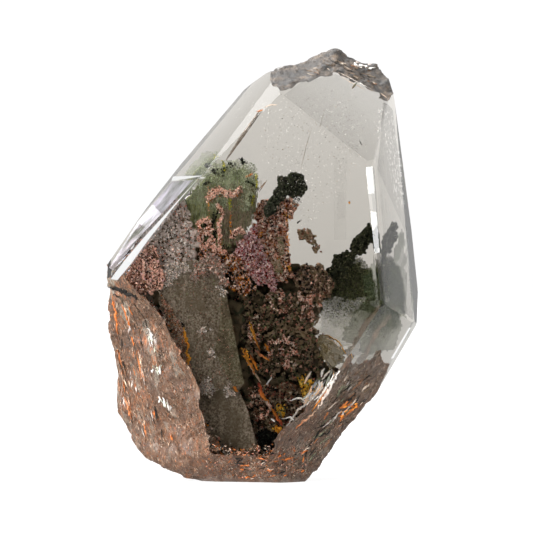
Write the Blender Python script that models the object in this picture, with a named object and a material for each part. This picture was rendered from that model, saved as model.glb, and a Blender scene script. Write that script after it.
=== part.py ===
"""A polished garden quartz: a clear faceted crystal on a rough natural base, with chlorite and other minerals inside.

Lengths are in millimetres until a mesh is made, and metres after that. X runs to the right and Z up as the stone is
seen from the front, Y runs away from the eye, and the stone stands on Z = 0.
"""

import math

import bmesh
import bpy
from mathutils import Vector, noise

MM = 0.001

# The block that the natural stone is broken out of.
BLOCK_LOW = (-31.0, -20.0, -4.0)
BLOCK_HIGH = (31.0, 19.0, 74.0)

# Corners of the polished front face as (x, z), clockwise from the corner at its left.
LEFT_CORNER = (-9.1, 48.9)
TOP_LEFT = (3.1, 61.6)
TOP_RIGHT = (16.6, 50.6)
STRIP_TOP = (17.9, 51.2)
STRIP_FOOT_IN = (19.0, 27.8)
STRIP_FOOT = (19.8, 28.2)
LOWER_RIGHT = (13.8, 19.8)
SLIVER_FOOT = (-22.9, 31.7)
LOWER_LEFT = (-23.8, 32.3)

# Depth of the front face, y = start + rise * z, and how far each facet falls away from the one that it meets.
FRONT = (-15.7, 0.0, 0.06)
UPPER_FALL = 0.50
LEFT_EDGE_FALL = 1.1
UPPER_LEFT_FALL = 0.65
SLIVER_FALL = 1.3
LOWER_LEFT_FALL = 0.42
STRIP_FALL = 0.43
RIGHT_FALL = 0.96
FAR_RIGHT_FALL = 2.0
LOWER_RIGHT_FALL = 1.08
RIM_FALL = 1.6

# The two polished back faces meet in a low ridge.
RIDGE_X = 11.5
BACK_DEPTH = 15.0
BACK_LEAN = -0.11
BACK_LEFT_FALL = 0.03
BACK_RIGHT_FALL = -0.12

# The natural skin: grain of the mesh, and the sizes and heights of its lumps, ledges and pits.
SKIN_GRAIN = 2.0
LUMP_SIZE = 10.0
LUMP_HEIGHT = 0.9
LEDGE_SIZE = 5.5
LEDGE_HEIGHT = 0.6
PIT_SIZE = 2.6
PIT_HEIGHT = 0.45

# Hollows in the natural skin as (centre, radius, depth).
HOLLOWS = (
    ((-16.0, -13.0, 25.0), 5.5, 3.0),
    ((-12.5, -15.0, 17.0), 5.0, 2.0),
    ((-23.5, -6.0, 16.5), 4.5, 1.2),
    ((-12.5, -11.0, 9.0), 5.0, 1.6),
    ((13.5, -10.0, 13.0), 5.0, 1.4),
    ((7.5, -13.5, 7.0), 5.0, 1.4),
    ((-25.0, -8.0, 31.5), 3.5, 1.0),
    ((-6.0, 13.0, 12.0), 7.0, 1.8),
    ((10.0, 12.0, 10.0), 5.0, 1.2),
    ((16.5, -2.0, 67.5), 3.0, 0.7),
)

# Minerals inside. A lobe is (centre, half sizes).
GARDEN_GRAIN = 1.9
GARDEN_LOBES = (
    ((0.3, -1.0, 0.5), (4.2, 3.8, 6.0)),
    ((-3.0, -2.5, 9.0), (8.0, 6.0, 6.5)),
    ((4.0, -2.0, 12.5), (6.5, 6.0, 6.5)),
    ((0.5, -1.0, 20.0), (7.0, 6.5, 8.0)),
    ((7.0, 0.0, 24.0), (4.2, 5.0, 7.0)),
    ((-0.5, -3.0, 33.0), (4.8, 4.5, 7.0)),
    ((3.2, -4.0, 38.5), (2.6, 3.2, 5.0)),
    ((-8.2, -3.8, 36.8), (3.2, 3.6, 8.0)),
    ((-8.5, -2.5, 19.0), (5.0, 4.0, 9.0)),
    ((-12.2, -4.4, 31.2), (4.1, 3.4, 5.4)),
    ((-16.5, -6.5, 33.5), (3.0, 2.6, 3.4)),
    ((8.8, -1.0, 32.2), (2.6, 3.0, 2.6)),
    ((10.5, -3.0, 14.5), (3.6, 4.0, 4.6)),
)
TUFT_GRAIN = 0.9
TUFT_LOBES = (
    ((2.3, -4.6, 44.3), (1.3, 1.5, 2.2)),
    ((3.6, -4.8, 47.0), (1.9, 1.8, 1.9)),
    ((5.9, -4.9, 47.9), (1.9, 1.8, 1.7)),
)
# A sheet is an outline as (x, z) with its middle depth at the start, the tilt of that depth, and a thickness.
PHANTOM_GRAIN = 1.5
PHANTOM_OUTLINE = (
    (-13.6, 36.5), (-13.4, 44.0), (-11.8, 48.6), (-8.6, 51.4), (-5.5, 51.2), (-1.6, 50.8), (-0.6, 47.5), (-1.0, 40.0),
    (-5.0, 37.5), (-9.5, 35.5),
)
PHANTOM_DEPTH = (-7.6, 0.10, 0.02)
PHANTOM_THICKNESS = 2.0
VEIL_GRAIN = 1.45
VEIL_OUTLINE = (
    (10.3, 22.5), (10.0, 32.5), (13.0, 37.0), (16.8, 41.4), (19.3, 41.6), (20.6, 35.0), (20.4, 27.5), (17.0, 22.0),
    (13.5, 19.8),
)
VEIL_DEPTH = (-4.0, 0.30, 0.0)
VEIL_THICKNESS = 2.2
MINERAL_LUMP = 3.0
MINERAL_HEIGHT = 0.45

# Touching pieces keep this gap, and the garden ends this far above the ground.
CLEARANCE = 0.3
GARDEN_FOOT = 0.2

# The middle of the stone's footprint box as (x, y). Everything is moved so that it lies over the origin.
FOOTPRINT_MIDDLE = (0.62, -1.23)


def clear_scene():
    for item in list(bpy.data.objects):
        bpy.data.objects.remove(item, do_unlink=True)


def outward(start, end):
    """The direction out of the stone at an edge that runs clockwise from start to end, as (x, z)."""
    run, rise = end[0] - start[0], end[1] - start[1]
    length = math.hypot(run, rise)
    return -rise / length, run / length


def beyond_edge(depth, start, end, fall):
    """The depth of a facet that shares the edge from start to end with another, and falls away from it beyond."""
    out_x, out_z = outward(start, end)
    level, by_x, by_z = depth
    return level - fall * (out_x * start[0] + out_z * start[1]), by_x + fall * out_x, by_z + fall * out_z


def facing_front(depth):
    """The cutting plane, as a point and a normal, of a face whose depth is level + by_x * x + by_z * z."""
    level, by_x, by_z = depth
    return Vector((0, level, 0)), Vector((by_x, -1, by_z)).normalized()


def facing_back(depth):
    level, by_x, by_z = depth
    return Vector((0, level, 0)), Vector((-by_x, 1, -by_z)).normalized()


def side_plane(start, end, depth, lean):
    """The cutting plane through a stretch of the outline at some depth, leaning in towards the back by some degrees."""
    out_x, out_z = outward(start, end)
    flat = math.cos(math.radians(lean))
    normal = Vector((out_x * flat, math.sin(math.radians(lean)), out_z * flat))
    return Vector((start[0], depth, start[1])), normal


def lower_right_facet():
    """The depth of the polished facet under the strip, which runs down to the natural base."""
    return beyond_edge(FRONT, STRIP_FOOT_IN, LOWER_RIGHT, LOWER_RIGHT_FALL)


def natural_planes():
    """The breaks that give the base and the top of the stone their natural shape."""
    return (
        side_plane((-23.3, 11.0), (-24.1, 30.6), -6.0, 4),
        side_plane((-19.2, 3.9), (-23.7, 10.9), -8.0, 6),
        side_plane((-9.6, -0.2), (-19.2, 4.0), -9.0, 6),
        side_plane((15.8, 10.4), (6.2, -0.6), -4.0, 6),
        side_plane((22.2, 19.2), (16.2, 9.6), -4.0, 4),
        side_plane((-1.8, 63.2), (11.4, 69.1), -8.0, 12),
        side_plane((11.4, 69.9), (18.9, 68.6), -7.0, 23),
        side_plane((18.7, 68.4), (21.4, 63.2), -6.0, 14),
        facing_front(beyond_edge(FRONT, (-8.0, 7.0), (-21.0, 32.4), 1.05)),
        facing_front(beyond_edge(FRONT, (6.4, 2.1), (-8.8, 6.0), 1.5)),
        facing_front(beyond_edge(lower_right_facet(), (21.5, 20.4), (13.0, 20.4), 0.10)),
        facing_back(beyond_edge((12.6, 0.0, 0.0), (18.0, 15.0), (-24.0, 23.0), -0.22)),
        facing_back(beyond_edge((11.0, 0.0, 0.0), (-10.0, 0.0), (-16.0, 30.0), -0.9)),
    )


def polished_planes():
    """The facets ground on the stone, the front ones clockwise from the upper right."""
    upper = beyond_edge(FRONT, TOP_LEFT, TOP_RIGHT, UPPER_FALL)
    strip = beyond_edge(FRONT, TOP_RIGHT, STRIP_FOOT_IN, STRIP_FALL)
    right = beyond_edge(strip, STRIP_TOP, STRIP_FOOT, RIGHT_FALL)
    left_edge = beyond_edge(FRONT, LEFT_CORNER, TOP_LEFT, LEFT_EDGE_FALL)
    lower_right = lower_right_facet()
    sliver = beyond_edge(FRONT, SLIVER_FOOT, LEFT_CORNER, SLIVER_FALL)
    lower_left = beyond_edge(sliver, LOWER_LEFT, LEFT_CORNER, LOWER_LEFT_FALL)
    upper_left = beyond_edge(left_edge, LEFT_CORNER, (1.0, 63.8), UPPER_LEFT_FALL)
    front = (
        FRONT,
        upper,
        strip,
        right,
        beyond_edge(right, (22.9, 44.5), (24.2, 28.2), FAR_RIGHT_FALL),
        lower_right,
        beyond_edge(lower_right, (24.0, 25.0), (21.0, 19.5), FAR_RIGHT_FALL),
        sliver,
        lower_left,
        beyond_edge(lower_left, (-19.1, 41.6), (-14.0, 48.4), RIM_FALL),
        upper_left,
        beyond_edge(upper_left, (-13.8, 48.4), (-1.9, 62.2), RIM_FALL),
        left_edge,
        beyond_edge(upper, (2.7, 64.0), (11.4, 68.8), RIM_FALL),
    )
    back = (
        (BACK_DEPTH - BACK_LEFT_FALL * RIDGE_X, BACK_LEFT_FALL, BACK_LEAN),
        (BACK_DEPTH - BACK_RIGHT_FALL * RIDGE_X, BACK_RIGHT_FALL, BACK_LEAN),
    )
    sides = (
        side_plane((-24.2, 34.6), (-19.5, 41.9), -7.0, 9),
        side_plane((-19.5, 41.9), (-14.3, 48.9), -6.0, 10),
        side_plane((-14.3, 48.9), (-2.5, 62.7), -5.0, 12),
        side_plane((-2.4, 62.7), (2.9, 65.6), -5.0, 13),
        side_plane((21.0, 63.0), (23.9, 44.2), -4.0, 10),
        side_plane((23.9, 44.2), (25.4, 30.2), -3.0, 9),
        side_plane((25.4, 30.2), (24.6, 24.6), -3.0, 9),
        side_plane((24.6, 24.6), (21.0, 18.6), -4.0, 9),
    )
    return [facing_front(depth) for depth in front] + [facing_back(depth) for depth in back] + list(sides)


def cut(bm, point, normal):
    """Grinds a closed mesh away beyond a plane and leaves it closed by one flat face."""
    parts = bm.verts[:] + bm.edges[:] + bm.faces[:]
    made = bmesh.ops.bisect_plane(
        bm, geom=parts, dist=1e-7, plane_co=point * MM, plane_no=normal, clear_outer=True
    )
    rim = [item for item in made["geom_cut"] if isinstance(item, bmesh.types.BMEdge)]
    if rim:
        bmesh.ops.holes_fill(bm, edges=rim, sides=0)


def block():
    """A box of stone as a bmesh."""
    bm = bmesh.new()
    bmesh.ops.create_cube(bm, size=1.0)
    low, high = Vector(BLOCK_LOW), Vector(BLOCK_HIGH)
    for vert in bm.verts:
        at = vert.co + Vector((0.5, 0.5, 0.5))
        vert.co = Vector(low[i] + at[i] * (high[i] - low[i]) for i in range(3)) * MM
    return bm


def as_object(bm, name):
    mesh = bpy.data.meshes.new(name)
    bm.to_mesh(mesh)
    bm.free()
    item = bpy.data.objects.new(name, mesh)
    bpy.context.scene.collection.objects.link(item)
    return item


def evaluated(item):
    """A bmesh of an object with its modifiers, after which the object is removed."""
    shape = bmesh.new()
    shape.from_object(item, bpy.context.evaluated_depsgraph_get())
    bpy.data.objects.remove(item, do_unlink=True)
    return shape


def remeshed(bm, grain):
    """The same body in even faces of one grain, its overlapping parts joined."""
    item = as_object(bm, "remeshed")
    remesh = item.modifiers.new("even grain", "REMESH")
    remesh.mode = "VOXEL"
    remesh.voxel_size = grain * MM
    return evaluated(item)


def ledge(at, size):
    """A number from -0.5 to 0.5 that is even inside each chip of a broken surface."""
    nearest = noise.voronoi(at / size)[1][0]
    return noise.cell(nearest * 7.3 + Vector((3.1, 5.7, 1.9))) % 1.0 - 0.5


def skin_height(at):
    """How far the natural skin stands out at a place in millimetres."""
    height = LUMP_HEIGHT * noise.noise(at / LUMP_SIZE)
    height += LEDGE_HEIGHT * ledge(at, LEDGE_SIZE)
    height += PIT_HEIGHT * noise.noise(at / PIT_SIZE + Vector((9.0, 2.0, 4.0)))
    for centre, radius, depth in HOLLOWS:
        height -= depth * math.exp(-((at - Vector(centre)).length / radius) ** 2)
    return height


def push_out(bm, height):
    """Moves each point along its normal by what height gives for its place, in millimetres."""
    bm.normal_update()
    moves = [(vert, vert.normal * height(vert.co / MM) * MM) for vert in bm.verts]
    for vert, move in moves:
        vert.co += move


def quartz():
    bm = block()
    for point, normal in natural_planes():
        cut(bm, point, normal)
    bm = remeshed(bm, SKIN_GRAIN)
    push_out(bm, skin_height)
    for point, normal in polished_planes():
        cut(bm, point, normal)
    cut(bm, Vector((0, 0, 0)), Vector((0, 0, -1)))
    return as_object(bm, "quartz_crystal")


def lobes(shapes):
    """Overlapping egg shapes in one mesh."""
    bm = bmesh.new()
    for centre, half in shapes:
        made = bmesh.ops.create_icosphere(bm, subdivisions=3, radius=1.0)
        for vert in made["verts"]:
            vert.co = Vector(centre[i] + vert.co[i] * half[i] for i in range(3)) * MM
    return bm


def sheet(outline, depth, thickness):
    """A plate of even thickness whose front has this outline."""
    bm = bmesh.new()
    level, by_x, by_z = depth
    ring = []
    for x, z in outline:
        ring.append(bm.verts.new(Vector((x, level + by_x * x + by_z * z - thickness / 2, z)) * MM))
    face = bm.faces.new(ring)
    grown = bmesh.ops.extrude_face_region(bm, geom=[face])
    for item in grown["geom"]:
        if isinstance(item, bmesh.types.BMVert):
            item.co.y += thickness * MM
    bmesh.ops.recalc_face_normals(bm, faces=bm.faces[:])
    return bm


def mineral(bm, grain):
    """A lumpy grown body of mineral from a plain one."""
    bm = remeshed(bm, grain)
    push_out(bm, lambda at: MINERAL_HEIGHT * noise.noise(at / MINERAL_LUMP))
    return bm


def swollen(item, name):
    """A hidden cutter of an object's form, larger all round by the clearance."""
    bm = bmesh.new()
    bm.from_mesh(item.data)
    push_out(bm, lambda at: CLEARANCE)
    cutter = as_object(bm, name)
    cutter.hide_render = True
    cutter.display_type = "WIRE"
    return cutter


def subtract(item, cutter):
    bite = item.modifiers.new("room for " + cutter.name, "BOOLEAN")
    bite.operation = "DIFFERENCE"
    bite.solver = "EXACT"
    bite.object = cutter


def material(item, colour, roughness, transmission=0.0):
    finish = bpy.data.materials.new(item.name)
    finish.use_nodes = True
    shader = finish.node_tree.nodes["Principled BSDF"]
    shader.inputs["Base Color"].default_value = (*colour, 1.0)
    shader.inputs["Roughness"].default_value = roughness
    shader.inputs["Metallic"].default_value = 0.0
    shader.inputs["Transmission Weight"].default_value = transmission
    item.data.materials.clear()
    item.data.materials.append(finish)


def cut_foot(item):
    """Ends the garden just above the ground, where the stone's base was broken off."""
    bm = bmesh.new()
    bm.from_mesh(item.data)
    cut(bm, Vector((0, 0, GARDEN_FOOT)), Vector((0, 0, -1)))
    bm.to_mesh(item.data)
    bm.free()


def build():
    clear_scene()
    stone = quartz()
    garden = as_object(mineral(lobes(GARDEN_LOBES), GARDEN_GRAIN), "mineral_garden")
    phantom = as_object(mineral(sheet(PHANTOM_OUTLINE, PHANTOM_DEPTH, PHANTOM_THICKNESS), PHANTOM_GRAIN),
                        "green_phantom")
    tuft = as_object(mineral(lobes(TUFT_LOBES), TUFT_GRAIN), "chlorite_tuft")
    veil = as_object(mineral(sheet(VEIL_OUTLINE, VEIL_DEPTH, VEIL_THICKNESS), VEIL_GRAIN), "chlorite_veil")

    minerals = (garden, phantom, tuft, veil)
    cutters = [swollen(item, item.name + "_pocket") for item in minerals]
    for cutter in cutters:
        subtract(stone, cutter)
    for item in minerals[1:]:
        subtract(item, cutters[0])
    cut_foot(garden)
    for item in (stone, *minerals, *cutters):
        item.location = Vector((-FOOTPRINT_MIDDLE[0], -FOOTPRINT_MIDDLE[1], 0)) * MM

    material(stone, (0.86, 0.85, 0.84), 0.03, 1.0)
    material(garden, (0.42, 0.24, 0.20), 0.80)
    material(phantom, (0.24, 0.27, 0.15), 0.75)
    material(tuft, (0.02, 0.03, 0.02), 0.80)
    material(veil, (0.10, 0.13, 0.09), 0.80)


build()
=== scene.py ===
# %% [markdown]
# # A garden quartz
#
# A garden quartz is one clear crystal that grew round older minerals. Somebody ground flat facets on this
# one and left its base as it broke. Glass-clear things are the hardest to fake in a render, so the stone is
# one closed mesh that bends light, and every mineral in it is a mesh of its own. Some light and shade is
# still painted: films under the facets, glowing specks and slivers, and the dark gaps of the grown minerals.

# %% The frame
import math

import bmesh
import bpy
import numpy as np
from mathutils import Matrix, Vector, noise
from mathutils.bvhtree import BVHTree


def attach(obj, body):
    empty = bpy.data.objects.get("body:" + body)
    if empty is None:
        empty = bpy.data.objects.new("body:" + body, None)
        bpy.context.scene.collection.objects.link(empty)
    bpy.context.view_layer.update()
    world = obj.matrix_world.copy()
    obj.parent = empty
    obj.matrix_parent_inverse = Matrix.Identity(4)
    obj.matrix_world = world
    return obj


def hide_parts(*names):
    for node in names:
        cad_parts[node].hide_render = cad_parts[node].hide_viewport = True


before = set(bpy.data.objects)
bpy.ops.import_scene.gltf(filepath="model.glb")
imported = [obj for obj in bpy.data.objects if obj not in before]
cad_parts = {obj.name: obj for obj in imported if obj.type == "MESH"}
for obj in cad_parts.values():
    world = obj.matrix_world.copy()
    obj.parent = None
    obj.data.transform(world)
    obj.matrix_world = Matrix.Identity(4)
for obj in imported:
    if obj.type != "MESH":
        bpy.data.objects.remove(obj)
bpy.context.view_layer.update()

print("nodes", sorted(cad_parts))

# %% [markdown]
# ## One ruler for everything
#
# The stone was measured on a photograph whose picture is 533 points wide. One point is 0.16 mm on the
# stone. All shapes below are in millimetres, with X to the right, Y away from the eye and Z up, and turn
# into metres at the very end. Small numbers such as 0.3 are easier to read, and easier to get right, than
# 0.0003.

# %% The ruler
MM = 0.001
POINT = 0.16
PICTURE = 533
ZERO_COLUMN, ZERO_ROW = 260.0, 481.0
FOOTPRINT_MIDDLE = (0.62, -1.23)
rng = np.random.default_rng(7)
noise.seed_set(7)


def to_metres(points):
    """Points in millimetres as the model's own metres, with the footprint's middle over the origin."""
    shift = np.array([FOOTPRINT_MIDDLE[0], FOOTPRINT_MIDDLE[1], 0.0])
    return (np.asarray(points, dtype=float).reshape(-1, 3) - shift) * MM


def linked(name, data):
    """A new object in the scene."""
    item = bpy.data.objects.new(name, data)
    bpy.context.scene.collection.objects.link(item)
    return item


def flat_place(column, row):
    """Where a point of the picture lies on the stone, as (x, z)."""
    return (column - ZERO_COLUMN) * POINT, (ZERO_ROW - row) * POINT


print("picture width", PICTURE * POINT, "mm")

# %% [markdown]
# ## The camera
#
# A long lens from far away keeps the facets' edges as parallel as they are in the photograph. The lens and
# the distance belong together: the picture must be as wide as 533 points of 0.16 mm at the depth of the
# stone's outline.

# %% The camera
LENS = 300.0
OUTLINE_DEPTH = -6.0
camera_data = bpy.data.cameras.new("long_lens")
camera_data.lens = LENS
camera_data.sensor_width = 36.0
EYE_DISTANCE = PICTURE * POINT * LENS / camera_data.sensor_width
eye_x, eye_z = flat_place(PICTURE / 2, PICTURE / 2)
EYE = np.array([eye_x, OUTLINE_DEPTH - EYE_DISTANCE, eye_z])
camera = bpy.data.objects.new("camera", camera_data)
camera.location = to_metres(EYE)[0]
camera.rotation_euler = (math.radians(90), 0, 0)
camera_data.clip_start, camera_data.clip_end = 0.05, 20.0
bpy.context.scene.collection.objects.link(camera)
bpy.context.scene.camera = camera
print("eye at", np.round(EYE, 1), "mm")

# %% [markdown]
# ## The facets
#
# A lapidary grinds one plane after another, so the stone is best described by its planes. Each facet below
# is a depth over the picture, y = level + by_x * x + by_z * z, that falls away from its neighbour beyond
# their common edge. A plane placed by two points of an edge is easy to check against the photograph, which
# a plane given by an angle isn't.

# %% The facets
LEFT_CORNER = (-9.1, 48.9)
TOP_LEFT = (3.1, 61.6)
TOP_RIGHT = (16.6, 50.6)
STRIP_TOP = (17.9, 51.2)
STRIP_FOOT_IN = (19.0, 27.8)
STRIP_FOOT = (19.8, 28.2)
LOWER_RIGHT = (13.8, 19.8)
SLIVER_FOOT = (-22.9, 31.7)
LOWER_LEFT = (-23.8, 32.3)
FRONT = (-15.7, 0.0, 0.06)


def outward(start, end):
    """The direction out of the stone at an edge that runs clockwise from start to end, as (x, z)."""
    run, rise = end[0] - start[0], end[1] - start[1]
    length = math.hypot(run, rise)
    return -rise / length, run / length


def beyond_edge(depth, start, end, fall):
    """The depth of a facet that shares the edge from start to end with another and falls away beyond it."""
    out_x, out_z = outward(start, end)
    level, by_x, by_z = depth
    return level - fall * (out_x * start[0] + out_z * start[1]), by_x + fall * out_x, by_z + fall * out_z


def facing(depth, away=-1):
    """A cutting plane, as a point and a normal, that faces the eye, or looks away from it with away=1."""
    level, by_x, by_z = depth
    return Vector((0, level, 0)), Vector((-away * by_x, away, -away * by_z)).normalized()


def side_plane(start, end, depth, lean):
    """The plane through a stretch of the outline at some depth, leaning in to the back by some degrees."""
    out_x, out_z = outward(start, end)
    flat = math.cos(math.radians(lean))
    return Vector((start[0], depth, start[1])), Vector(
        (out_x * flat, math.sin(math.radians(lean)), out_z * flat)
    )


UPPER = beyond_edge(FRONT, TOP_LEFT, TOP_RIGHT, 0.5)
STRIP = beyond_edge(FRONT, TOP_RIGHT, STRIP_FOOT_IN, 0.43)
RIGHT = beyond_edge(STRIP, STRIP_TOP, STRIP_FOOT, 0.96)
LOWER_RIGHT_FACET = beyond_edge(FRONT, STRIP_FOOT_IN, LOWER_RIGHT, 1.08)
LEFT_EDGE = beyond_edge(FRONT, LEFT_CORNER, TOP_LEFT, 0.68)
SLIVER = beyond_edge(FRONT, SLIVER_FOOT, LEFT_CORNER, 1.3)
LOWER_LEFT_FACET = beyond_edge(SLIVER, LOWER_LEFT, LEFT_CORNER, 0.42)
UPPER_LEFT_FACET = beyond_edge(LEFT_EDGE, LEFT_CORNER, (1.0, 63.8), 1.05)
print("front slope", FRONT[2])

# %% [markdown]
# ## All facets
#
# The front facets come by name, because looking in needs them later. The photograph shows nothing of the
# back, so two shallow facets close it.

# %% All facets
RIDGE_X, BACK_DEPTH, BACK_LEAN, BACK_LEFT, BACK_RIGHT = 11.5, 15.0, -0.11, 0.03, -0.12
RIM_FALL = 1.6

FRONT_FACETS = {
    "front": FRONT,
    "upper": UPPER,
    "strip": STRIP,
    "right": RIGHT,
    "far_right": beyond_edge(RIGHT, (22.9, 44.5), (24.2, 28.2), 2.0),
    "lower_right": LOWER_RIGHT_FACET,
    "lower_right_rim": beyond_edge(LOWER_RIGHT_FACET, (24.0, 25.0), (21.0, 19.5), 2.0),
    "sliver": SLIVER,
    "lower_left": LOWER_LEFT_FACET,
    "lower_left_rim": beyond_edge(LOWER_LEFT_FACET, (-19.1, 41.6), (-14.0, 48.4), RIM_FALL),
    "upper_left": UPPER_LEFT_FACET,
    "upper_left_rim": beyond_edge(UPPER_LEFT_FACET, (-13.8, 48.4), (-1.9, 62.2), RIM_FALL),
    "left_edge": LEFT_EDGE,
    "upper_rim": beyond_edge(UPPER, (2.7, 64.0), (11.4, 68.8), RIM_FALL),
}
BACK_FACETS = (
    (BACK_DEPTH - BACK_LEFT * RIDGE_X, BACK_LEFT, BACK_LEAN),
    (BACK_DEPTH - BACK_RIGHT * RIDGE_X, BACK_RIGHT, BACK_LEAN),
)
SIDE_FACETS = (
    ((-24.2, 34.6), (-19.5, 41.9), -7.0, 9),
    ((-19.5, 41.9), (-14.3, 48.9), -6.0, 10),
    ((-14.3, 48.9), (-2.5, 62.7), -5.0, 12),
    ((-2.4, 62.7), (2.9, 65.6), -5.0, 13),
    ((21.0, 63.0), (23.9, 44.2), -4.0, 10),
    ((23.9, 44.2), (25.4, 30.2), -3.0, 9),
    ((25.4, 30.2), (24.6, 24.6), -3.0, 9),
    ((24.6, 24.6), (21.0, 18.6), -4.0, 9),
)
print(len(FRONT_FACETS), "front facets")

# %% [markdown]
# ## Soft edges
#
# No ground edge is perfectly sharp. A bevel 0.16 mm wide, which is one point of the picture, gives the
# bright line that the photograph shows along the front.

# %% Soft edges
BEVEL = 0.16
BEVELS = (
    ("front", "upper", (9.8, 56.1)),
    ("front", "strip", (17.8, 39.2)),
    ("front", "lower_right", (16.4, 23.8)),
    ("strip", "right", (18.8, 39.7)),
)


def bevel(first, second, place):
    """A narrow plane that takes off the edge between two facets; place is a point (x, z) of the edge."""
    level, by_x, by_z = FRONT_FACETS[first]
    ways = [facing(FRONT_FACETS[name])[1] for name in (first, second)]
    middle = (ways[0] + ways[1]).normalized()
    inward = BEVEL / 2 * math.tan(ways[0].angle(ways[1]) / 2)
    on_edge = Vector((place[0], level + by_x * place[0] + by_z * place[1], place[1]))
    return on_edge - inward * middle, middle


polished = [facing(depth) for depth in FRONT_FACETS.values()]
polished += [bevel(*edge) for edge in BEVELS]
polished += [facing(depth, away=1) for depth in BACK_FACETS]
polished += [side_plane(*side) for side in SIDE_FACETS]
print(len(polished), "polished planes")

# %% [markdown]
# ## The broken skin
#
# Below the facets the stone shows how it broke: wide lumps, stepped ledges, and small scooped chips as in
# broken bottle glass. One formula gives the height of the skin at any place, from wide to fine. The planes
# first cut a rough block, the block gets an even mesh and is pushed out by that formula, and only then are
# the facets ground on it.

# %% The broken skin
BLOCK_LOW, BLOCK_HIGH = (-31.0, -20.0, -4.0), (31.0, 19.0, 74.0)
SKIN_GRAIN = 0.34
BREAKS = [
    side_plane((-23.3, 11.0), (-24.1, 30.6), -6.0, 4),
    side_plane((-19.2, 3.9), (-23.7, 10.9), -8.0, 6),
    side_plane((-9.6, -0.2), (-19.2, 4.0), -9.0, 6),
    side_plane((15.8, 10.4), (6.2, -0.6), -4.0, 6),
    side_plane((22.2, 19.2), (16.2, 9.6), -4.0, 4),
    side_plane((-1.8, 63.2), (11.4, 69.1), -5.4, 12),
    side_plane((11.4, 69.7), (18.9, 68.4), -4.4, 23),
    side_plane((18.7, 68.2), (21.4, 63.0), -3.6, 14),
    facing(beyond_edge(UPPER, (3.1, 60.9), (12.0, 64.3), 0.6)),
    facing(beyond_edge(UPPER, (12.0, 64.3), (20.5, 60.1), 0.6)),
    facing(beyond_edge(FRONT, (-8.0, 7.0), (-21.0, 32.4), 1.05)),
    facing(beyond_edge(FRONT, (6.4, 2.1), (-8.8, 6.0), 1.5)),
    facing(beyond_edge(LOWER_RIGHT_FACET, (21.5, 20.4), (13.0, 20.4), 0.1)),
    facing(beyond_edge((12.6, 0.0, 0.0), (18.0, 15.0), (-24.0, 23.0), -0.22), away=1),
    facing(beyond_edge((11.0, 0.0, 0.0), (-10.0, 0.0), (-16.0, 30.0), -0.9), away=1),
]
HOLLOWS = (
    ((-16.0, -13.0, 25.0), 5.5, 3.0),
    ((-12.5, -15.0, 17.0), 5.0, 2.0),
    ((-23.5, -6.0, 16.5), 4.5, 1.2),
    ((-12.5, -11.0, 9.0), 5.0, 1.6),
    ((13.5, -10.0, 13.0), 5.0, 1.4),
    ((7.5, -13.5, 7.0), 5.0, 1.4),
    ((-25.0, -8.0, 31.5), 3.5, 1.0),
    ((-6.0, 13.0, 12.0), 7.0, 1.8),
    ((10.0, 12.0, 10.0), 5.0, 1.2),
    ((16.5, -2.0, 67.5), 3.0, 0.7),
)
print(len(BREAKS), "breaks and", len(HOLLOWS), "hollows")



# %% [markdown]
# ## The height of the skin
#
# The coarse part is smooth noise, and each finer part is made of flat chips that are tilted at random: the
# nearest point of a Voronoi pattern tells which chip a place belongs to.

# %% The height of the skin
def ledge(at, size):
    """A number from -0.5 to 0.5 that is even inside each chip of a broken surface."""
    nearest = noise.voronoi(at / size)[1][0]
    return noise.cell(nearest * 7.3 + Vector((3.1, 5.7, 1.9))) % 1.0 - 0.5


def chip(at, size):
    """The height of a flat chip that is tilted at random, from about -0.5 to 0.5."""
    centre = noise.voronoi(at / size)[1][0]
    tilt = noise.cell_vector(centre * 5.1 + Vector((2.7, 8.3, 6.1))) - Vector((0.5, 0.5, 0.5))
    return (at / size - centre).dot(tilt)


def skin_height(at):
    """How far the broken skin stands out at a place in millimetres."""
    height = 0.25 + 0.9 * noise.noise(at / 10.0)
    height += 0.45 * ledge(at, 5.5)
    height += 0.25 * noise.noise(at / 2.6 + Vector((9.0, 2.0, 4.0)))
    for centre, radius, depth in HOLLOWS:
        height -= depth * math.exp(-((at - Vector(centre)).length / radius) ** 2)
    warped = at + 0.3 * noise.noise_vector(at / 2.4)
    height += 0.42 * chip(warped, 3.4)
    height += 0.22 * chip(warped, 1.4)
    return height
print("skin at the foot of the front", round(skin_height(Vector((0.0, -14.0, 4.0))), 2), "mm")



# %% [markdown]
# ## Cutting and remeshing
#
# A cut must leave a closed body, or light would enter the stone and never leave it. The remesher gives even
# faces, small enough to take the chips.

# %% Cutting and remeshing
def cut(bm, point, normal):
    """Grinds a closed mesh away beyond a plane and leaves it closed by one flat face."""
    parts = bm.verts[:] + bm.edges[:] + bm.faces[:]
    made = bmesh.ops.bisect_plane(
        bm, geom=parts, dist=1e-6, plane_co=point, plane_no=normal, clear_outer=True,
    )
    rim = [item for item in made["geom_cut"] if isinstance(item, bmesh.types.BMEdge)]
    return bmesh.ops.holes_fill(bm, edges=rim, sides=0)["faces"] if rim else []


def block():
    """A box of stone in millimetres."""
    bm = bmesh.new()
    bmesh.ops.create_cube(bm, size=1.0)
    for vert in bm.verts:
        at = vert.co + Vector((0.5, 0.5, 0.5))
        vert.co = Vector(BLOCK_LOW[i] + at[i] * (BLOCK_HIGH[i] - BLOCK_LOW[i]) for i in range(3))
    return bm


def as_object(bm, name):
    mesh = bpy.data.meshes.new(name)
    bm.to_mesh(mesh)
    bm.free()
    item = linked(name, mesh)
    return item


def evaluated(item):
    """A bmesh of an object with its modifiers, after which the object is removed."""
    shape = bmesh.new()
    shape.from_object(item, bpy.context.evaluated_depsgraph_get())
    bpy.data.objects.remove(item, do_unlink=True)
    return shape


def remeshed(bm, grain):
    """The same body in even faces of one grain."""
    item = as_object(bm, "remeshed")
    remesh = item.modifiers.new("even grain", "REMESH")
    remesh.mode = "VOXEL"
    remesh.voxel_size = grain
    return evaluated(item)


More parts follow.
